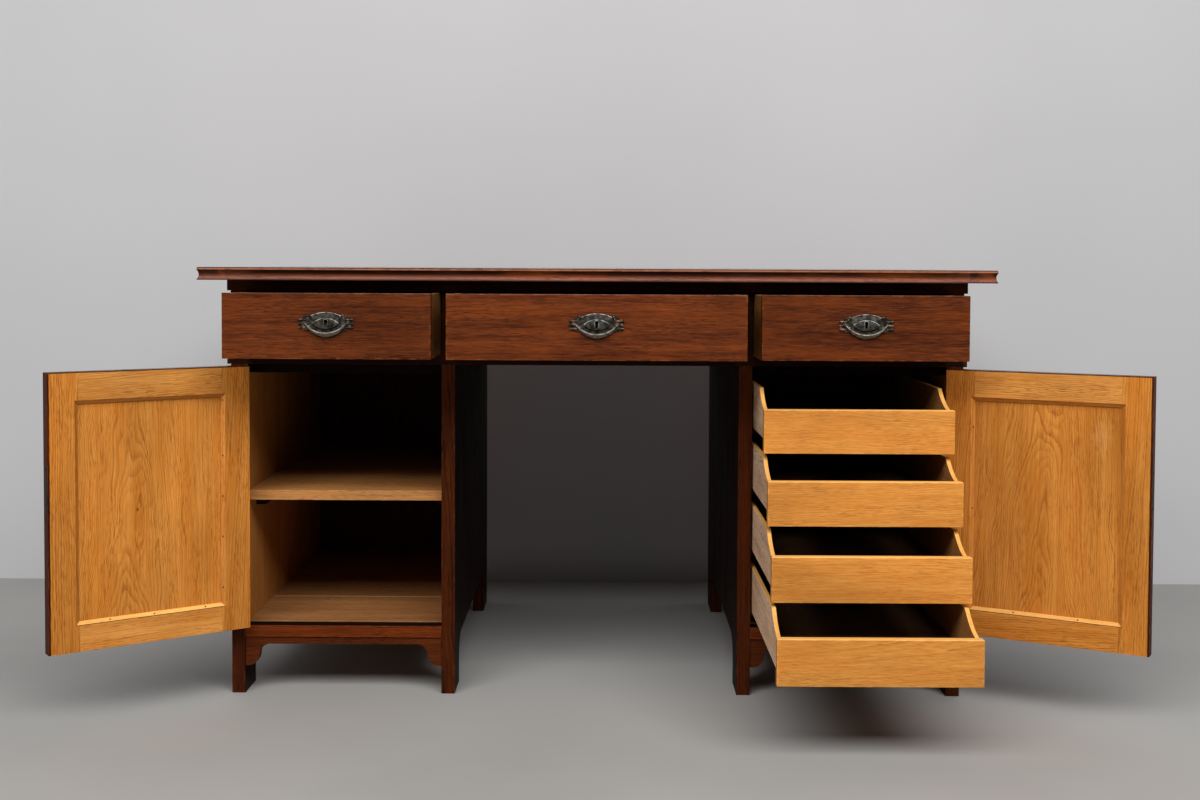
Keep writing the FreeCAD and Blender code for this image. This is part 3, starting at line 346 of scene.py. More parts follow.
def oak(name, kind, inside=None, spot=None, joint=False, seat=False, under=False):
    """Oak with rings, pores and rubbed edges, and a second wood inside, where the tone is pale.

    Joint is a rubbed strip at the front edge, seat dirt and painted shadow at the lower edge, under painted
    shade below a floor.
    """
    g = Graph(name + "_oak")
    masks = oak_masks(g, (inside or kind)["streak"])
    colour, roughness = oak_colour(g, masks, kind)
    if inside:
        face, height, front = g.split(g.attribute("tone"))
        ragged = g.math("MULTIPLY_ADD", masks["nibble"], RAGGED, RAGGED_LEAST)
        pale = g.product(g.ease(face, g.math("ADD", ragged, FACE_SOFT), ragged),
                         g.ease(height, -FLOOR_SOFT, FLOOR_SOFT),
                         g.ease(front, ragged, g.math("ADD", ragged, FRONT_SOFT)))
        inner_colour, inner_roughness = oak_colour(g, masks, inside)
        colour = g.mix(pale, colour, inner_colour)
        roughness = g.blend(pale, roughness, inner_roughness)
    if under:
        # Painted shade: near-black on the inside face below the cupboard's floor
        below = g.product(g.ease(face, *UNDER_FACE), g.ease(height, *UNDER_FLOOR))
        colour = g.mix(g.product(below, UNDER_SHADE), colour, BLACK)
    if seat:
        # Dirt and painted shadow along the bead's lower edge
        line = g.ease(g.split(g.attribute("low"))[2], SEAT_WIDTH, SEAT_WIDTH * STRIP_FULL)
        colour = g.mix(line, colour, SEAT_DIRT_AND_SHADE)
    if joint:
        beside = g.ease(g.split(g.attribute("tone"))[0], JOINT_WIDTH, JOINT_WIDTH * STRIP_FULL)
        colour = g.mix(g.product(beside, JOINT_RUB), colour, kind["worn"])
    if spot:
        low, high = g.attribute("low"), g.attribute("high")
        share = g.vector("DIVIDE", low, g.vector("ADD", low, high))
        away = g.vector("MULTIPLY", g.vector("SUBTRACT", share, spot["place"]), spot["stretch"])
        cloud = g.noise(low, spot["cloud"], detail=4.0)
        reach = g.math("MULTIPLY_ADD", cloud, SPOT_FRAY, g.vector("LENGTH", away))
        patch = g.ease(reach, SPOT_ENDS, SPOT_FULL, 0.0, spot["strength"])
        colour = g.mix(g.product(patch, pale), colour, spot["colour"])
    relief = g.math("MULTIPLY_ADD", masks["pores"], PORE_RELIEF, g.product(masks["fibre"], FIBRE_RELIEF))
    relief = g.math("MULTIPLY_ADD", masks["early"], EARLY_RELIEF, relief)
    return g.done(g.principled(relief, RELIEF, RELIEF_STRENGTH, Base_Color=colour, Roughness=roughness,
                               Specular_IOR_Level=kind["specular"]))


# Handle forms, metres from the middle of the handle and out from the drawer's face
PLATE_LENGTH, PLATE_HEIGHT, PLATE_PROUD = 0.043, 0.0193, 0.0025
EYE_LENGTH, EYE_HEIGHT, EYE_PROUD = 0.0225, 0.009, 0.0045
LIP_LENGTH, LIP_DROP, LIP_ROUNDNESS = 0.038, 0.025, 0.020
RIM_LENGTH, RIM_DROP = 0.0355, 0.0165
KEY_RISE, KEY_SLOT, KEY_COLLAR = 0.004, 0.0085, 0.0036
HANDLE_DEPTH, HANDLE_HALF = 0.012, 0.0465
# Painted shadow under the eye, from its edge to where it fades and ends, and painted shade inside the
# keyhole's collar
SHADE_STARTS, SHADE_FADES, SHADE_ENDS, EYE_SHADOW = 0.0004, 0.0010, 0.0034, 0.8
SLOT_FULL, SLOT_ENDS, KEY_SOFT = 0.0018, 0.0025, 0.0006
# Raised rims, pins, finger shoulders and the cover of the left keyhole
RIM_RADIUS, THIN_RIM_RADIUS, RIM_INSET, RIM_SUNK = 0.0009, 0.0007, 0.97, 0.0003
PIN_X, PIN_Z, PIN_RADIUS, PIN_HEIGHT = 0.0288, -0.0045, 0.0021, 0.0014
SHOULDER = ((0.0262, 0.0152), (0.0305, 0.0146), (0.0455, 0.0078), (0.0455, -0.0078), (0.0330, -0.0125),
            (0.0262, -0.0100))
COVER = ((-0.0125, 0.0052), (-0.0112, 0.0064), (0.0030, -0.0034), (0.0018, -0.0046))
SHOULDER_PROUD, COVER_PROUD, COVER_SUNK = 0.0019, 0.0012, 0.0002


def handle_dirt(g):
    """Painted shade on a handle: a shadow along the lower edge of its eye, and dark inside the keyhole's
    collar.
    """
    low, high = g.split(g.attribute("low")), g.split(g.attribute("high"))
    x = g.product(g.math("SUBTRACT", low[0], high[0]), 0.5)
    z = g.math("SUBTRACT", PLATE_HEIGHT, high[2])
    radius = (EYE_LENGTH ** 2 + EYE_HEIGHT ** 2) / (2 * EYE_HEIGHT)
    rise = g.math("SUBTRACT", z, radius - EYE_HEIGHT)
    away = g.math("SUBTRACT", g.length(x, rise), radius)
    within = g.ease(g.math("ABSOLUTE", x), EYE_LENGTH * 1.02, EYE_LENGTH * 0.8)
    band = g.product(g.ease(away, -SHADE_STARTS, SHADE_STARTS), g.ease(away, SHADE_ENDS, SHADE_FADES))
    under = g.product(band, within, g.ease(z, 0.001, -0.001), EYE_SHADOW)
    from_key = g.math("SUBTRACT", z, KEY_RISE)
    slot = g.product(g.ease(g.math("ABSOLUTE", x), SLOT_ENDS, SLOT_FULL), g.ease(from_key, 0.0, -0.0004),
                     g.ease(from_key, -KEY_SLOT, -KEY_SLOT + KEY_SOFT))
    hole = g.ease(g.length(x, from_key), KEY_COLLAR, KEY_COLLAR - KEY_SOFT)
    return g.math("MAXIMUM", under, g.math("MAXIMUM", slot, hole))


# Metal: how far hollows reach, its relief, and how much the fine mottle roughens it
HOLLOW_REACH, METAL_RELIEF, METAL_RELIEF_STRENGTH, METAL_MOTTLE = 0.004, 0.0002, 0.35, 0.2
# How much finer the fine mottle is, what the coarse one adds to the relief, and how much being proud counts
METAL_SPECULAR, FINER, COARSE_RELIEF, PROUD_SHARE = 0.2, 6, 0.6, 0.35
# Where metal lies open and is rubbed, where and how much rims shine, and where copper shows
OPEN_RANGE, RUB_RANGE, RIM_RANGE, RIM_SHINE = (0.3, 0.95), (0.4, 0.9), (0.38, 0.64), (0.15, 1.0)
COPPER_REACH, COPPER_FINE, COPPER_MOTTLE = (0.6, 0.9), (0.42, 0.6), (0.5, 0.66)


def metal(name, dark, light, roughness, metallic, scale, rubbed=None, copper=None):
    """Old metal: dark in the hollows, brighter where it stands proud, mottled, with rubbed rims.

    Its colours are display values.
    """
    g = Graph(name)
    place = g.add("ShaderNodeTexCoord").outputs["Object"]
    proud, reach, rim = g.split(g.attribute("tone"))
    mottle = g.noise(place, (scale, scale, scale), detail=4.0)
    fine = g.noise(place, (scale * FINER, scale * FINER, scale * FINER), detail=2.0)
    open_air = g.ease(g.hollow(HOLLOW_REACH), *OPEN_RANGE)
    rub = g.product(g.ease(g.math("MULTIPLY_ADD", proud, PROUD_SHARE, mottle), *RUB_RANGE), open_air)
    colour = g.mix(rub, srgb(*dark), srgb(*light))
    if rubbed:
        # Painted shadow under the eye and painted shade inside the keyhole's collar
        colour = g.mix(handle_dirt(g), colour, BLACK)
        colour = g.mix(g.product(rim, g.ease(mottle, *RIM_RANGE, *RIM_SHINE)), colour, srgb(*rubbed))
    if copper:
        bare = g.product(g.ease(reach, *COPPER_REACH), g.ease(fine, *COPPER_FINE),
                         g.ease(mottle, *COPPER_MOTTLE))
        colour = g.mix(bare, colour, srgb(*copper))
    rough = g.math("MULTIPLY_ADD", fine, METAL_MOTTLE, roughness)
    relief = g.math("MULTIPLY_ADD", mottle, COARSE_RELIEF, fine)
    return g.done(g.principled(relief, METAL_RELIEF, METAL_RELIEF_STRENGTH, Base_Color=colour,
                               Roughness=rough, Metallic=metallic, Specular_IOR_Level=METAL_SPECULAR))


# Marks on the door panels, placed by their share of the panel's width and height
SCUFF = {"place": (0.15, 0.0, 0.85), "stretch": (11.0, 0.0, 9.0), "cloud": (90.0, 90.0, 70.0),
         "strength": 0.17, "colour": srgb(232, 178, 112)}
KNOT = {"place": (0.59, 0.0, 0.49), "stretch": (95.0, 0.0, 70.0), "cloud": (200.0, 200.0, 120.0),
        "strength": 0.85, "colour": srgb(84, 40, 14)}

materials = {
    "stained": oak("stained", STAINED),
    "shaded": oak("shaded", SHADED),
    "knee": oak("dark", KNEE_SHADE),
    "rail": oak("rail", RAIL),
    "front": oak("drawer_front", FRONT),
    "top_edge": oak("top_edge", TOP_EDGE),
    "top_face": oak("top_face", TOP_FACE),
    "case": oak("case", STAINED, inside=CUPBOARD, under=True),
    "apron": oak("apron", APRON),
    "door": oak("door", STAINED, inside=DOOR),
    "door_rail": oak("door_rail", STAINED, inside=DOOR_RAIL),
    "knotted": oak("knotted", STAINED, inside=DOOR, spot=KNOT),
    "scuffed": oak("scuffed", STAINED, inside=DOOR, spot=SCUFF),
    "pale": oak("tray", PALE),
    "bead": oak("bead", DOOR),
    "new_bead": oak("new_bead", BRIGHT, seat=True),
    "bright": oak("bright", BRIGHT),
    "greyed": oak("greyed", GREYED_AND_LIT),
    "tray_inner": oak("tray_inner", TRAY_INNER_SHADE),
    "aged": oak("aged", AGED),
    "shelf": oak("shelf", SHELF),
    "floor": oak("cupboard_floor", FLOOR, joint=True),
    "drawer_side": oak("drawer_side", DRAWER_SIDE),
    "bronze": metal("handle_bronze", (22, 21, 18), (85, 80, 69), 0.38, 0.6, 150.0,
                    (144, 143, 139), (186, 112, 62)),
    "lip": metal("lip_bronze", (78, 68, 60), (150, 136, 120), 0.4, 0.5, 150.0),
    # Near-black walls of the keyhole: painted shade
    "keyhole": metal("keyhole_painted_shade", (6, 5, 5), (14, 12, 11), 0.8, 0.0, 200.0),
    "steel": metal("hinge_steel", (40, 34, 30), (112, 98, 86), 0.42, 0.9, 220.0),
    "iron": metal("nail_iron", (26, 20, 17), (70, 58, 50), 0.5, 0.7, 300.0),
    "brass": metal("lock_brass", (22, 20, 16), (50, 45, 36), 0.5, 0.6, 180.0),
}

# Edges sharper than the first angle are eased, and edges flatter than the second are taken out
CORNER_ANGLE, FLAT_ANGLE = math.radians(28), math.radians(0.4)
# Ease of wood, of hinges and door locks, and of handles and drawer locks
EASE, HINGE_EASE, HANDLE_EASE = 0.0007, 0.0003, 0.0004


def shells(mesh):
    """The closed solids of a CAD mesh, one after another, as points and faces."""
    index, points, faces, ends = {}, [], [], set()
    for polygon in mesh.polygons:
        corners = []
        for number in polygon.vertices:
            key = tuple(mesh.vertices[number].co)
            if key not in index:
                index[key] = len(points)
                points.append(key)
            corners.append(index[key])
        if len(set(corners)) < 3:
            continue
        faces.append(corners)
        for first, second in zip(corners, corners[1:] + corners[:1]):
            if (second, first) in ends:
                ends.remove((second, first))
            else:
                ends.add((first, second))
        if not ends:
            yield points, faces
            index, points, faces = {}, [], []
    if faces:
        yield points, faces


def eased(points, faces, ease):
    """A solid with its flat faces made whole and its sharp edges slightly rounded."""
    bm = bmesh.new()
    vertices = [bm.verts.new(point) for point in points]
    for corners in faces:
        try:
            bm.faces.new([vertices[number] for number in corners])
        except ValueError:
            pass
    bmesh.ops.dissolve_limit(bm, angle_limit=FLAT_ANGLE, verts=bm.verts[:], edges=bm.edges[:])
    sharp = [edge for edge in bm.edges if len(edge.link_faces) == 2 and edge.calc_face_angle() > CORNER_ANGLE]
    bmesh.ops.bevel(bm, geom=sharp, offset=ease, offset_type="OFFSET", segments=2, profile=0.5,
                    affect="EDGES", clamp_overlap=True)
    return bm


# Boards cut through the heart, and beside it: where the pith lies, its tilt and the sway of the rings
HEART_ASIDE, HEART_BELOW, HEART_TILT, HEART_SWAY = (-0.2, 0.2), (0.05, 0.09), (0.07, 0.11), 0.05
SIDE_ASIDE, SIDE_BELOW, SIDE_TILT, SIDE_SWAY = (0.01, 0.12), (0.06, 0.16), (0.01, 0.05), (0.008, 0.018)
LEAN, SHIFT = (-0.03, 0.03), (0, 9)


class Board:
    """Where a board's growth rings lie, from a seed of its own."""

    def __init__(self, seed, low, high, grain, heart):
        size = high - low
        order = sorted((X, Y, Z), key=lambda axis: size[axis])
        self.along = order[2] if grain is None else grain
        self.depth, self.across = [axis for axis in order if axis != self.along]
        self.middle = (low + high) / 2
        width = size[self.across]
        luck = random.Random(zlib.crc32(seed.encode()))
        if heart:
            self.pith = self.middle[self.across] + luck.uniform(*HEART_ASIDE) * width
            self.below = luck.uniform(*HEART_BELOW)
            self.tilt = luck.choice((-1, 1)) * luck.uniform(*HEART_TILT)
            self.sway = HEART_SWAY
        else:
            beside = width / 2 + luck.uniform(*SIDE_ASIDE)
            self.pith = self.middle[self.across] + luck.choice((-1, 1)) * beside
            self.below = luck.uniform(*SIDE_BELOW)
            self.tilt = luck.choice((-1, 1)) * luck.uniform(*SIDE_TILT)
            self.sway = luck.uniform(*SIDE_SWAY)
        self.lean = luck.uniform(*LEAN)
        self.shift = [luck.uniform(*SHIFT) for axis in (X, Y, Z)]
        self.tint = luck.random()

    def grain(self, point):
        places = (point[self.along], point[self.across], point[self.depth])
        return [place + shift for place, shift in zip(places, self.shift)]

    def rings(self, point):
        run = point[self.along] - self.middle[self.along]
        side = point[self.across] - self.pith + self.lean * run
        under = point[self.depth] - self.middle[self.depth] + self.below + self.tilt * run
        return (side, under, self.tint)

    def wave(self):
        return (self.sway, self.sway, self.sway)


# How far the stain laps onto a door's inside face at its free edge and top, and onto a side from behind
STAIN_LAP, TOP_LAP, BACK_LAP = 0.0022, 0.0018, 0.004


def door_axes(name):
    """The turn that brings a door's width, thickness and height back onto X, Y and Z."""
    for side, degrees in DOOR_TURN.items():
        if name.startswith(side + "_door_"):
            return Matrix.Rotation(math.radians(-degrees), 3, "Z")
    return Matrix.Identity(3)


def corners_of(places):
    return [Vector([end(place[axis] for place in places) for axis in (X, Y, Z)]) for end in (min, max)]


def no_tone(point, low, high):
    return (1.0, 1.0, 1.0)


def add_object(name, data):
    made = bpy.data.objects.new(name, data)
    scene.collection.objects.link(made)
    return made


def smooth(piece):
    """Round faces look round, and corners stay crisp."""
    piece.data.shade_smooth()
    piece.data.set_sharp_from_angle(angle=CORNER_ANGLE)


def new_piece(name, points, faces, layers, coats, body):
    """An object that rides on a body, with attributes at its face corners and a material for each face."""
    mesh = bpy.data.meshes.new(name)
    mesh.from_pydata(points, [], faces)
    for key, values in layers.items():
        mesh.attributes.new(key, "FLOAT_VECTOR", "CORNER").data.foreach_set("vector", values)
    used = sorted(set(coats))
    for coat in used:
        mesh.materials.append(materials[coat])
    mesh.polygons.foreach_set("material_index", [used.index(coat) for coat in coats])
    piece = add_object(name, mesh)
    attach(piece, body)
    return piece


def dress(name, paint, grain=None, planks=1, tone=no_tone, heart=False, ease=EASE):
    """A copy of a CAD node with eased edges, whose corners know their place in their own board."""
    source = frame["nodes"][name]
    turn = door_axes(name)
    points, faces, coats = [], [], []
    layers = {key: [] for key in ("grain", "rings", "wave", "low", "high", "tone")}
    for number, (shell_points, shell_faces) in enumerate(shells(source.data)):
        bm = eased(shell_points, shell_faces, ease)
        low, high = corners_of([turn @ Vector(point) for point in shell_points])
        whole = Board(f"{name} {number}", low, high, grain, heart)
        step = (high[whole.across] - low[whole.across]) / planks
        boards = []
        for plank in range(planks):
            plank_low, plank_high = low.copy(), high.copy()
            plank_low[whole.across] += plank * step
            plank_high[whole.across] = plank_low[whole.across] + step
            boards.append(Board(f"{name} {number} {plank}", plank_low, plank_high, whole.along, heart))
            if plank:
                normal = Vector((0, 0, 0))
                normal[whole.across] = 1.0
                bmesh.ops.bisect_plane(bm, geom=bm.verts[:] + bm.edges[:] + bm.faces[:], plane_co=plank_low,
                                       plane_no=normal, dist=1e-6)
        bm.verts.index_update()
        bm.normal_update()
        start = len(points)
        points.extend(tuple(vertex.co) for vertex in bm.verts)
        for face in bm.faces:
            faces.append([start + vertex.index for vertex in face.verts])
            middle = turn @ face.calc_center_median()
            coats.append(paint(number, turn @ face.normal, low, high, middle) if callable(paint) else paint)
            which = int((middle[whole.across] - low[whole.across]) / step)
            board = boards[max(0, min(planks - 1, which))]
            for vertex in face.verts:
                place = turn @ vertex.co
                values = (board.grain(place), board.rings(place), board.wave(), place - low, high - place,
                          tone(place, low, high))
                for layer, value in zip(layers.values(), values):
                    layer.extend(value)
        bm.free()
    piece = new_piece(name + "_dressed", points, faces, layers, coats, source["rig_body"])
    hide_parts(name)
    return piece


def door_tone(side):
    """Pale on the inside face only: the edges are stained like the outside, with strips beside two."""
    turn = door_axes(f"{side}_door_frame")
    mesh = frame["nodes"][f"{side}_door_frame"].data
    far_low, far_high = corners_of([turn @ vertex.co for vertex in mesh.vertices])

    def tone(point, low, high):
        from_free = far_high[X] - point[X] if side == "left" else point[X] - far_low[X]
        return (high[Y] - point[Y], far_high[Z] - point[Z] - TOP_LAP, from_free - STAIN_LAP)
    return tone


def side_tone(pale_high):
    """Pale towards the cupboard, above its floor and between the front and back edges."""
    def tone(point, low, high):
        face = high[X] - point[X] if pale_high else point[X] - low[X]
        from_edge = min(point[Y] - low[Y], high[Y] - point[Y] - BACK_LAP)
        return (face, point[Z] - CUPBOARD_FLOOR, from_edge)
    return tone


def floor_tone(point, low, high):
    """Distance behind the front edge of the rear board, the one that starts inside the cupboard."""
    return (point[Y] - low[Y] if low[Y] > REAR_BOARD else 1.0, 1.0, 1.0)


def side_paint(knee):
    """Nearly black towards the kneehole, as painted shade."""
    def paint(number, normal, low, high, middle):
        return "knee" if normal[X] * knee > FACING else "case"
    return paint


def top_paint(number, normal, low, high, middle):
    return "top_face" if normal[Z] > TOP_FACING and high[Z] - middle[Z] < TOP_SKIN else "top_edge"


# Rail tops are near-black, painted shade under the drawers
def rail_paint(number, normal, low, high, middle):
    return "knee" if normal[Z] > FACING else "rail"


# Up-facing faces bright as wear and painted light, the inside face browner as painted shade
def tray_front_paint(number, normal, low, high, middle):
    if normal[Z] > FACING:
        return "bright"
    return "tray_inner" if normal[Y] > FACING else "pale"


def tray_paint(number, normal, low, high, middle):
    """Sides greyed outside and painted lighter there as lit, browner inside as painted shade, and bright
    along the top as wear and painted light. The back and bottom are aged.
    """
    if number > 1:
        return "aged"
    if normal[Z] > FACING:
        return "bright"
    outward = -normal[X] if number == 0 else normal[X]
    if abs(outward) < FACING:
        return "pale"
    return "greyed" if outward > 0 else "tray_inner"


def drawer_paint(number, normal, low, high, middle):
    return "drawer_side" if number < 2 else "aged"


def door_paint(side):
    """Rails are paler than stiles, apart from the right door's lower one."""
    def paint(number, normal, low, high, middle):
        across = high[X] - low[X] > high[Z] - low[Z]
        return "door_rail" if across and (side == "left" or low[Z] > DOOR_FOOT) else "door"
    return paint


def bead_paint(number, normal, low, high, middle):
    """The lowest bead is a newer, paler piece."""
    return "new_bead" if high[Z] < DOOR_FOOT else "bead"


def handle_middle(name):
    """The middle of a handle's plate, on the face of its drawer."""
    low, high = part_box(name + "_handle")
    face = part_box(name + "_front")[0][Y]
    return Vector(((low[X] + high[X]) / 2, face, high[Z] - PLATE_HEIGHT))


def handle_paint(name):
    """Black on the walls of the keyhole as painted shade, browner on the outside of the lip."""
    plate = handle_middle(name)
    key = plate + Vector((0, 0, KEY_RISE))

    def paint(number, normal, low, high, middle):
        away = Vector((middle[X] - key[X], 0.0, middle[Z] - key[Z]))
        if abs(normal[Y]) < 0.3 and away.length < KEY_SLOT + 0.001:
            return "keyhole"
        under = normal[Z] < -0.15 and abs(away[X]) < RIM_LENGTH and plate[Y] - middle[Y] > PLATE_PROUD + 0.001
        return "lip" if under and away[Z] < -EYE_HEIGHT else "bronze"
    return paint


def handle_tone(name, rim=0.0):
    """How far the metal stands proud, how near the finger ends it is, and whether it is a raised rim."""
    plate = handle_middle(name)

    def tone(point, low, high):
        return ((plate[Y] - point[Y]) / HANDLE_DEPTH, abs(point[X] - plate[X]) / HANDLE_HALF, rim)
    return tone


# Door nails and lock screws
NAIL_RADIUS, NAIL_HEIGHT, NAIL_SUNK = 0.0018, 0.0008, 0.0004
SCREW_RADIUS, SCREW_PROUD, SCREW_SUNK, SCREW_INSET = 0.0026, 0.0006, 0.0002, 0.008
SCREW_SLOT = Vector((0, 0.6, 0.8))


def circle(centre, radius, first, second, sides):
    angles = [2 * math.pi * side / sides for side in range(sides)]
    return [centre + radius * (math.cos(angle) * first + math.sin(angle) * second) for angle in angles]


class Shape:
    """Points and faces of a small piece."""

    def __init__(self):
        self.points, self.faces = [], []

    def loft(self, rings):
        """A closed skin over rings of points, with flat ends."""
        start, sides = len(self.points), len(rings[0])
        for ring in rings:
            self.points.extend(ring)
        for row in range(len(rings) - 1):
            for side in range(sides):
                a = start + row * sides + side
                b = start + row * sides + (side + 1) % sides
                self.faces.append((a, b, b + sides, a + sides))
        self.faces.append(tuple(start + side for side in reversed(range(sides))))
        last = start + (len(rings) - 1) * sides
        self.faces.append(tuple(last + side for side in range(sides)))

    def tube(self, path, radius, sides=8):
        rings = []
        for number, point in enumerate(path):
            ahead = path[min(number + 1, len(path) - 1)] - path[max(number - 1, 0)]
            out = ahead.cross(Vector((0, -1, 0))).normalized()
            rings.append(circle(point, radius, out, out.cross(ahead).normalized(), sides))
        self.loft(rings)

    def dome(self, place, out, radius, height, sides=12, rows=4):
        across = out.orthogonal().normalized()
        up = out.cross(across)
        rings = []
        for row in range(rows + 1):
            tip = min(row / rows * math.pi / 2, 1.45)
            centre = place + height * math.sin(tip) * out
            rings.append(circle(centre, radius * math.cos(tip), across, up, sides))
        self.loft(rings)

    def slab(self, outline, out):
        """A prism from an outline, as thick as the out vector is long, slightly narrower at its face."""
        middle = sum(outline, Vector()) / len(outline)
        shrunk = [middle + (point - middle) * 0.94 for point in outline]
        self.loft([outline, [point + out * 0.7 for point in outline], [point + out for point in shrunk]])

    def screw(self, place, out, slot, radius):
        """A slotted head: two half discs with the slot between them."""
        side = out.cross(slot)
        for sign in (-1, 1):
            outline = []
            for step in range(9):
                angle = math.pi * step / 8
                outline.append(place + sign * side * (radius * math.sin(angle) * 0.85 + radius * 0.15)
                               + sign * slot * radius * math.cos(angle))
            self.slab(outline, out * SCREW_PROUD)

    def piece(self, name, coat, body, slot, tone=no_tone):
        bm = bmesh.new()
        vertices = [bm.verts.new(point) for point in self.points]
        for corners in self.faces:
            bm.faces.new([vertices[number] for number in corners])
        bmesh.ops.recalc_face_normals(bm, faces=bm.faces[:])
        bm.verts.index_update()
        points = [tuple(vertex.co) for vertex in bm.verts]
        faces = [[vertex.index for vertex in face.verts] for face in bm.faces]
        bm.free()
        values = []
        for corners in faces:
            for number in corners:
                values.extend(tone(points[number], None, None))
        smooth(new_piece(name, points, faces, {"tone": values}, [coat] * len(faces), body))


def oval_arc(half_length, half_height, start, end, steps):
    """Points along the upper arc of a pointed oval, from one share of its half length to another."""
    radius = (half_length ** 2 + half_height ** 2) / (2 * half_height)
    places = [half_length * (start + (end - start) * step / steps) for step in range(steps + 1)]
    return [(x, math.sqrt(radius ** 2 - x ** 2) - (radius - half_height)) for x in places]


def rim_curve(steps):
    """Points along the lip's rim: sideways, out from the drawer and up."""
    base = (LIP_LENGTH ** 2 + LIP_DROP ** 2) / (2 * LIP_DROP)
    rise = base - LIP_DROP
    ball = base ** 2 + LIP_ROUNDNESS ** 2
    end_proud = math.sqrt(ball - RIM_LENGTH ** 2 - rise ** 2) - LIP_ROUNDNESS
    slope = (math.sqrt(ball - (rise + RIM_DROP) ** 2) - LIP_ROUNDNESS - end_proud) / RIM_DROP
    a = 1 + slope ** 2
    b = 2 * (rise + slope * (end_proud + LIP_ROUNDNESS))
    curve = []
    for step in range(steps + 1):
        x = RIM_LENGTH * (2 * step / steps - 1)
        c = rise ** 2 + (end_proud + LIP_ROUNDNESS) ** 2 - ball + x ** 2
        drop = (-b + math.sqrt(max(0.0, b ** 2 - 4 * a * c))) / (2 * a)
        curve.append((x, end_proud + slope * drop, -drop))
    return curve


def handle_trim(name):
    """Raised rims round the eye, keyhole, plate and lip, pins, and shoulders behind the fingers."""
    middle = handle_middle(name)

    def at(x, proud, z):
        return middle + Vector((x, -proud, z))
    rims, plain_parts = Shape(), Shape()
    eye_edge = oval_arc(EYE_LENGTH, EYE_HEIGHT, -RIM_INSET, RIM_INSET, 20)
    rims.tube([at(x, EYE_PROUD, z * RIM_INSET) for x, z in eye_edge], RIM_RADIUS)
    plate_edge = oval_arc(PLATE_LENGTH, PLATE_HEIGHT, -0.72, 0.72, 24)
    rims.tube([at(x, PLATE_PROUD, z * RIM_INSET) for x, z in plate_edge], RIM_RADIUS)
    rims.tube([at(x, proud - RIM_SUNK, z) for x, proud, z in rim_curve(40)], THIN_RIM_RADIUS)
    collar = [at(-KEY_COLLAR, EYE_PROUD, KEY_RISE - KEY_SLOT)]
    for step in range(13):
        angle = math.pi * (1 - step / 12)
        collar.append(at(KEY_COLLAR * math.cos(angle), EYE_PROUD, KEY_RISE + KEY_COLLAR * math.sin(angle)))
    collar.append(at(KEY_COLLAR, EYE_PROUD, KEY_RISE - KEY_SLOT))
    rims.tube(collar, THIN_RIM_RADIUS)
    outward = Vector((0, -1, 0))
    for side in (-1, 1):
        rims.dome(at(side * PIN_X, PLATE_PROUD - RIM_SUNK, PIN_Z), outward, PIN_RADIUS, PIN_HEIGHT)
        plain_parts.slab([at(side * x, 0.0, z) for x, z in SHOULDER], outward * SHOULDER_PROUD)
    if name == "left_drawer":
        plain_parts.slab([at(x, EYE_PROUD - COVER_SUNK, z) for x, z in COVER], outward * COVER_PROUD)
    rims.piece(name + "_handle_rims", "bronze", name, "bronze", handle_tone(name, 1.0))
    plain_parts.piece(name + "_handle_trim", "bronze", name, "bronze", handle_tone(name))


# Nails in the door beads by the hinge and at the bottom, as shares from the top or from the hinge side
BEAD_NAILS = {
    "left": {"hinge": (0.03, 0.29, 0.48, 0.67, 0.91), "bottom": (0.14, 0.49, 0.78)},
    "right": {"hinge": (0.14, 0.52, 0.86), "bottom": (0.3, 0.72)},
}
BEAD_EDGE = 0.002


def door_fixings(side):
    """Nail heads in a door's beads, and screws in its lock plate."""
    turn = door_axes(f"{side}_door_beads")
    back = turn.transposed()
    body = frame["nodes"][f"{side}_door_beads"]["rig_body"]
    hinge_sign = -1 if side == "left" else 1
    inward = back @ Vector((0, 1, 0))

    def boxes(name):
        for points, faces in shells(frame["nodes"][name].data):
            yield corners_of([turn @ Vector(point) for point in points])
    beads = list(boxes(f"{side}_door_beads"))
    middle = sum((low + high for low, high in beads), Vector()) / (2 * len(beads))
    nails = Shape()
    for low, high in beads:
        upright = high[Z] - low[Z] > high[X] - low[X]
        off = (low + high) / 2 - middle
        if upright:
            kind = "hinge" if off[X] * hinge_sign > 0 else "free"
        else:
            kind = "top" if off[Z] > 0 else "bottom"
        for share in BEAD_NAILS[side].get(kind, ()):
            place = Vector((low[X] + high[X], low[Y] + high[Y] + BEAD_EDGE, low[Z] + high[Z])) / 2
            if upright:
                place[Z] = high[Z] - share * (high[Z] - low[Z])
            elif hinge_sign < 0:
                place[X] = low[X] + share * (high[X] - low[X])
            else:
                place[X] = high[X] - share * (high[X] - low[X])
            place[Y] -= NAIL_SUNK
            nails.dome(back @ place, inward, NAIL_RADIUS, NAIL_HEIGHT, sides=10, rows=3)
    nails.piece(f"{side}_door_bead_nails", "iron", body, "hinge_steel")

    screws = Shape()
    low, high = next(boxes(f"{side}_door_lock"))
    out = back @ Vector((-hinge_sign, 0, 0))
    plate = high[X] if hinge_sign < 0 else low[X]
    for z in (low[Z] + SCREW_INSET, high[Z] - SCREW_INSET):
        place = back @ Vector((plate, (low[Y] + high[Y]) / 2, z)) - out * SCREW_SUNK
        screws.screw(place, out, back @ SCREW_SLOT, SCREW_RADIUS)
    screws.piece(f"{side}_door_lock_screws", "brass", body, "lock_brass")


dress("top_panel", top_paint, grain=X, planks=6)
dress("top_cleats", top_paint)
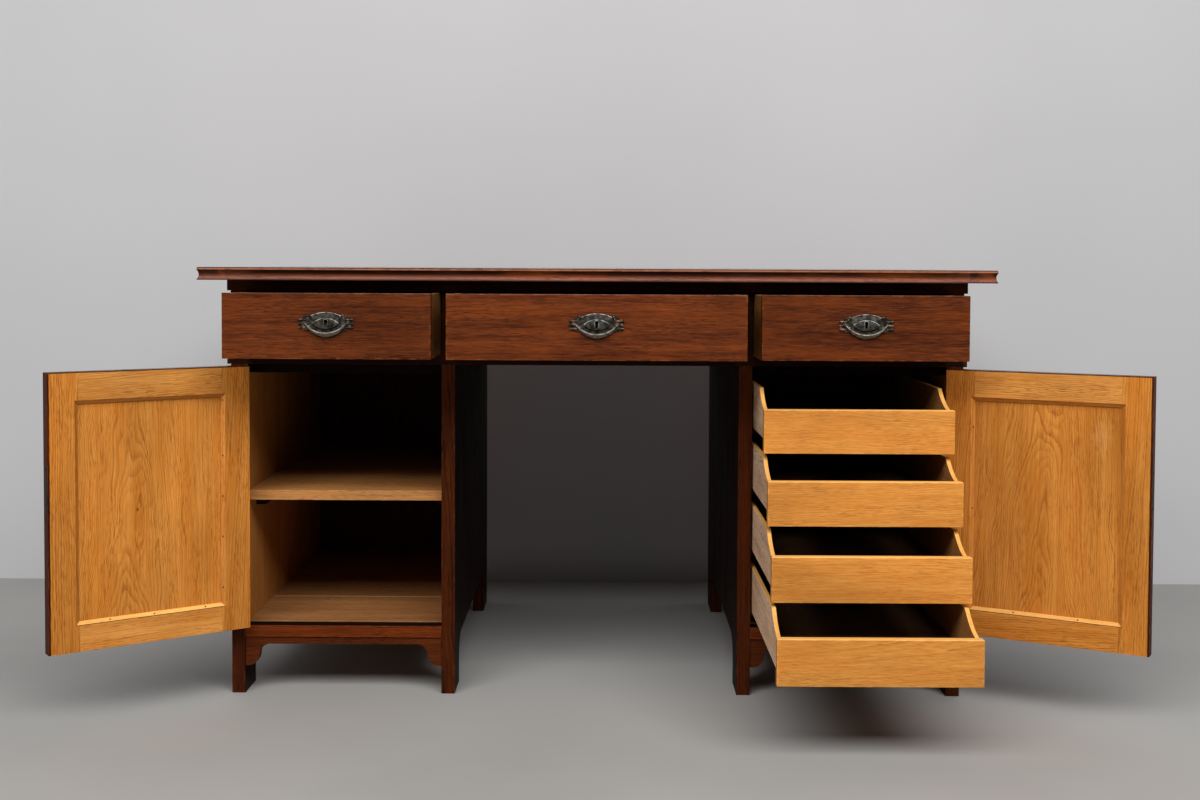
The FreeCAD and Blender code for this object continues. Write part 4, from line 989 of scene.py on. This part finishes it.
# Pieces that lie in shade get the shaded and knee coats, darkened as painted shade
DARK_PIECES = {
    "stained": ("frieze_end_left", "frieze_end_right", "frieze_side_mouldings", "frieze_back",
                "frieze_top_rail"),
    "shaded": ("frieze_dividers", "frieze_bottom_rail"),
    "knee": ("drawer_runners", "drawer_kickers", "pedestal_top_boards"),
}
for coat, names in DARK_PIECES.items():
    for node in names:
        dress(node, coat)
# The shelf battens are darkened as painted shade
dress("left_shelf_battens", "shaded")
dress("pedestal_front_rails", rail_paint)
dress("pedestal_aprons", "apron", grain=X)
for node, pale_high, knee in (("left_outer_side", True, 0), ("left_inner_side", False, 1),
                              ("right_inner_side", True, -1), ("right_outer_side", False, 0)):
    dress(node, side_paint(knee), grain=Z, planks=5, tone=side_tone(pale_high))
for node in ("left_back_frame", "right_back_frame", "pedestal_back_panels"):
    dress(node, "stained", heart="panels" in node)
dress("pedestal_floors", "floor", grain=X, tone=floor_tone)
dress("left_shelf", "shelf", grain=X)
dress("tray_runners", "aged")
for side in DOOR_TURN:
    dress(f"{side}_door_frame", door_paint(side), tone=door_tone(side))
    dress(f"{side}_door_panel", "scuffed" if side == "right" else "knotted", tone=door_tone(side),
          heart=True)
    dress(f"{side}_door_beads", bead_paint)
    smooth(dress(f"{side}_door_hinge_leaves", "steel", ease=HINGE_EASE))
    smooth(dress(f"{side}_door_lock", "brass", ease=HINGE_EASE))
    door_fixings(side)
smooth(dress("door_hinge_case_leaves", "steel", ease=HINGE_EASE))
for drawer in ("left_drawer", "middle_drawer", "right_drawer"):
    dress(f"{drawer}_front", "front")
    dress(f"{drawer}_box", drawer_paint)
    smooth(dress(f"{drawer}_handle", handle_paint(drawer), tone=handle_tone(drawer),
                 ease=HANDLE_EASE))
    smooth(dress(f"{drawer}_lock", "brass", ease=HANDLE_EASE))
    handle_trim(drawer)
for number in range(1, 5):
    dress(f"tray_{number}_front", tray_front_paint)
    dress(f"tray_{number}_box", tray_paint)


def plain(g, colour, variation):
    """A plain painted or cast surface with slight cloudiness."""
    place = g.add("ShaderNodeTexCoord").outputs["Object"]
    cloud = g.ease(g.noise(place, (1.3, 1.3, 1.3), detail=4.0), 0.3, 0.7, 1.0 - variation, 1.0)
    return g.darken(colour, cloud)


def flat_piece(name, corners, material):
    mesh = bpy.data.meshes.new(name)
    mesh.from_pydata(corners, [], [(0, 1, 2, 3)])
    mesh.materials.append(material)
    piece = add_object(name, mesh)


# The stage: how far the floor and backdrop reach, where the backdrop stands, and their colours
REACH, WALL_Y, WALL_HEIGHT = 9.0, 0.78, 9.0
FLOOR_GREY, WALL_GREY = srgb(166, 164, 161), srgb(202, 201, 202)
# Lights: place, target, width and height, and power
KEY_LIGHT = ((0.0, -3.15, 3.35), (0.0, -0.1, 0.3), (6.4, 2.0), 278.0)
BACK_LIGHT = ((0.0, 4.0, 2.6), (0.0, 0.2, 0.4), (5.0, 2.0), 75.0)
# Strength of the sky as a fill light, and as it is seen or mirrored
SKY_FILL, SKY_SEEN = 0.05, 0.62

g = Graph("floor_grey")
floor_shader = g.principled(Base_Color=plain(g, FLOOR_GREY, 0.12), Roughness=0.7)
flat_piece("floor", [(-REACH, -REACH, 0), (REACH, -REACH, 0), (REACH, REACH, 0), (-REACH, REACH, 0)],
           g.done(floor_shader))
# The backdrop stands close behind the desk, is clear when seen from behind and throws no shadow
g = Graph("backdrop_grey")
front_shader = g.principled(Base_Color=plain(g, WALL_GREY, 0.04), Roughness=0.9)
behind = g.add("ShaderNodeNewGeometry").outputs["Backfacing"]
shade = g.add("ShaderNodeLightPath").outputs["Is Shadow Ray"]
one_sided = g.add("ShaderNodeMixShader", Fac=g.math("MAXIMUM", behind, shade))
g.fill(one_sided.inputs[1], front_shader)
g.fill(one_sided.inputs[2], g.add("ShaderNodeBsdfTransparent").outputs[0])
flat_piece("backdrop", [(-REACH, WALL_Y, 0), (REACH, WALL_Y, 0), (REACH, WALL_Y, WALL_HEIGHT),
                        (-REACH, WALL_Y, WALL_HEIGHT)], g.done(one_sided.outputs[0]))


def area_light(name, place, target, size, power):
    data = bpy.data.lights.new(name, "AREA")
    data.shape = "RECTANGLE"
    data.size, data.size_y = size
    data.energy = power
    lamp = add_object(name, data)
    lamp.location = place
    lamp.rotation_euler = (Vector(target) - Vector(place)).to_track_quat("-Z", "Y").to_euler()
    return lamp


area_light("key", *KEY_LIGHT)
# A weak light from behind reaches the desk alone, past the backdrop
back_light = area_light("back", *BACK_LIGHT)
desk = bpy.data.collections.new("desk")
for piece in scene.objects:
    if piece.type == "MESH" and piece.name not in ("floor", "backdrop"):
        desk.objects.link(piece)
back_light.light_linking.receiver_collection = desk
back_light.light_linking.blocker_collection = desk

g = Graph("studio", "worlds")
rays = g.add("ShaderNodeLightPath").outputs
seen = g.math("ADD", rays["Is Camera Ray"], rays["Is Glossy Ray"])
seen = g.math("ADD", seen, rays["Is Transmission Ray"])
strength = g.add("ShaderNodeMapRange", Value=seen, To_Min=SKY_FILL, To_Max=SKY_SEEN).outputs[0]
sky = g.add("ShaderNodeBackground", Color=(1.0, 1.0, 1.0, 1.0), Strength=strength)
scene.world = g.done(sky.outputs[0], "ShaderNodeOutputWorld")

camera_data = bpy.data.cameras.new("camera")
camera_data.sensor_fit = "HORIZONTAL"
camera_data.sensor_width = CAMERA_SENSOR
camera_data.lens = CAMERA_LENS
camera_data.shift_y = CAMERA_SHIFT_Y
camera = add_object("camera", camera_data)
forward = Vector((math.sin(CAMERA_YAW) * math.cos(CAMERA_PITCH),
                  math.cos(CAMERA_YAW) * math.cos(CAMERA_PITCH), math.sin(CAMERA_PITCH)))
level = Vector((math.cos(CAMERA_YAW), -math.sin(CAMERA_YAW), 0.0))
upright = level.cross(forward)
right = math.cos(CAMERA_ROLL) * level + math.sin(CAMERA_ROLL) * upright
up = -math.sin(CAMERA_ROLL) * level + math.cos(CAMERA_ROLL) * upright
axes = Matrix((right, up, -forward)).transposed()
camera.matrix_world = Matrix.Translation(CAMERA_PLACE) @ axes.to_4x4()
scene.camera = camera
scene.view_settings.view_transform = "Standard"
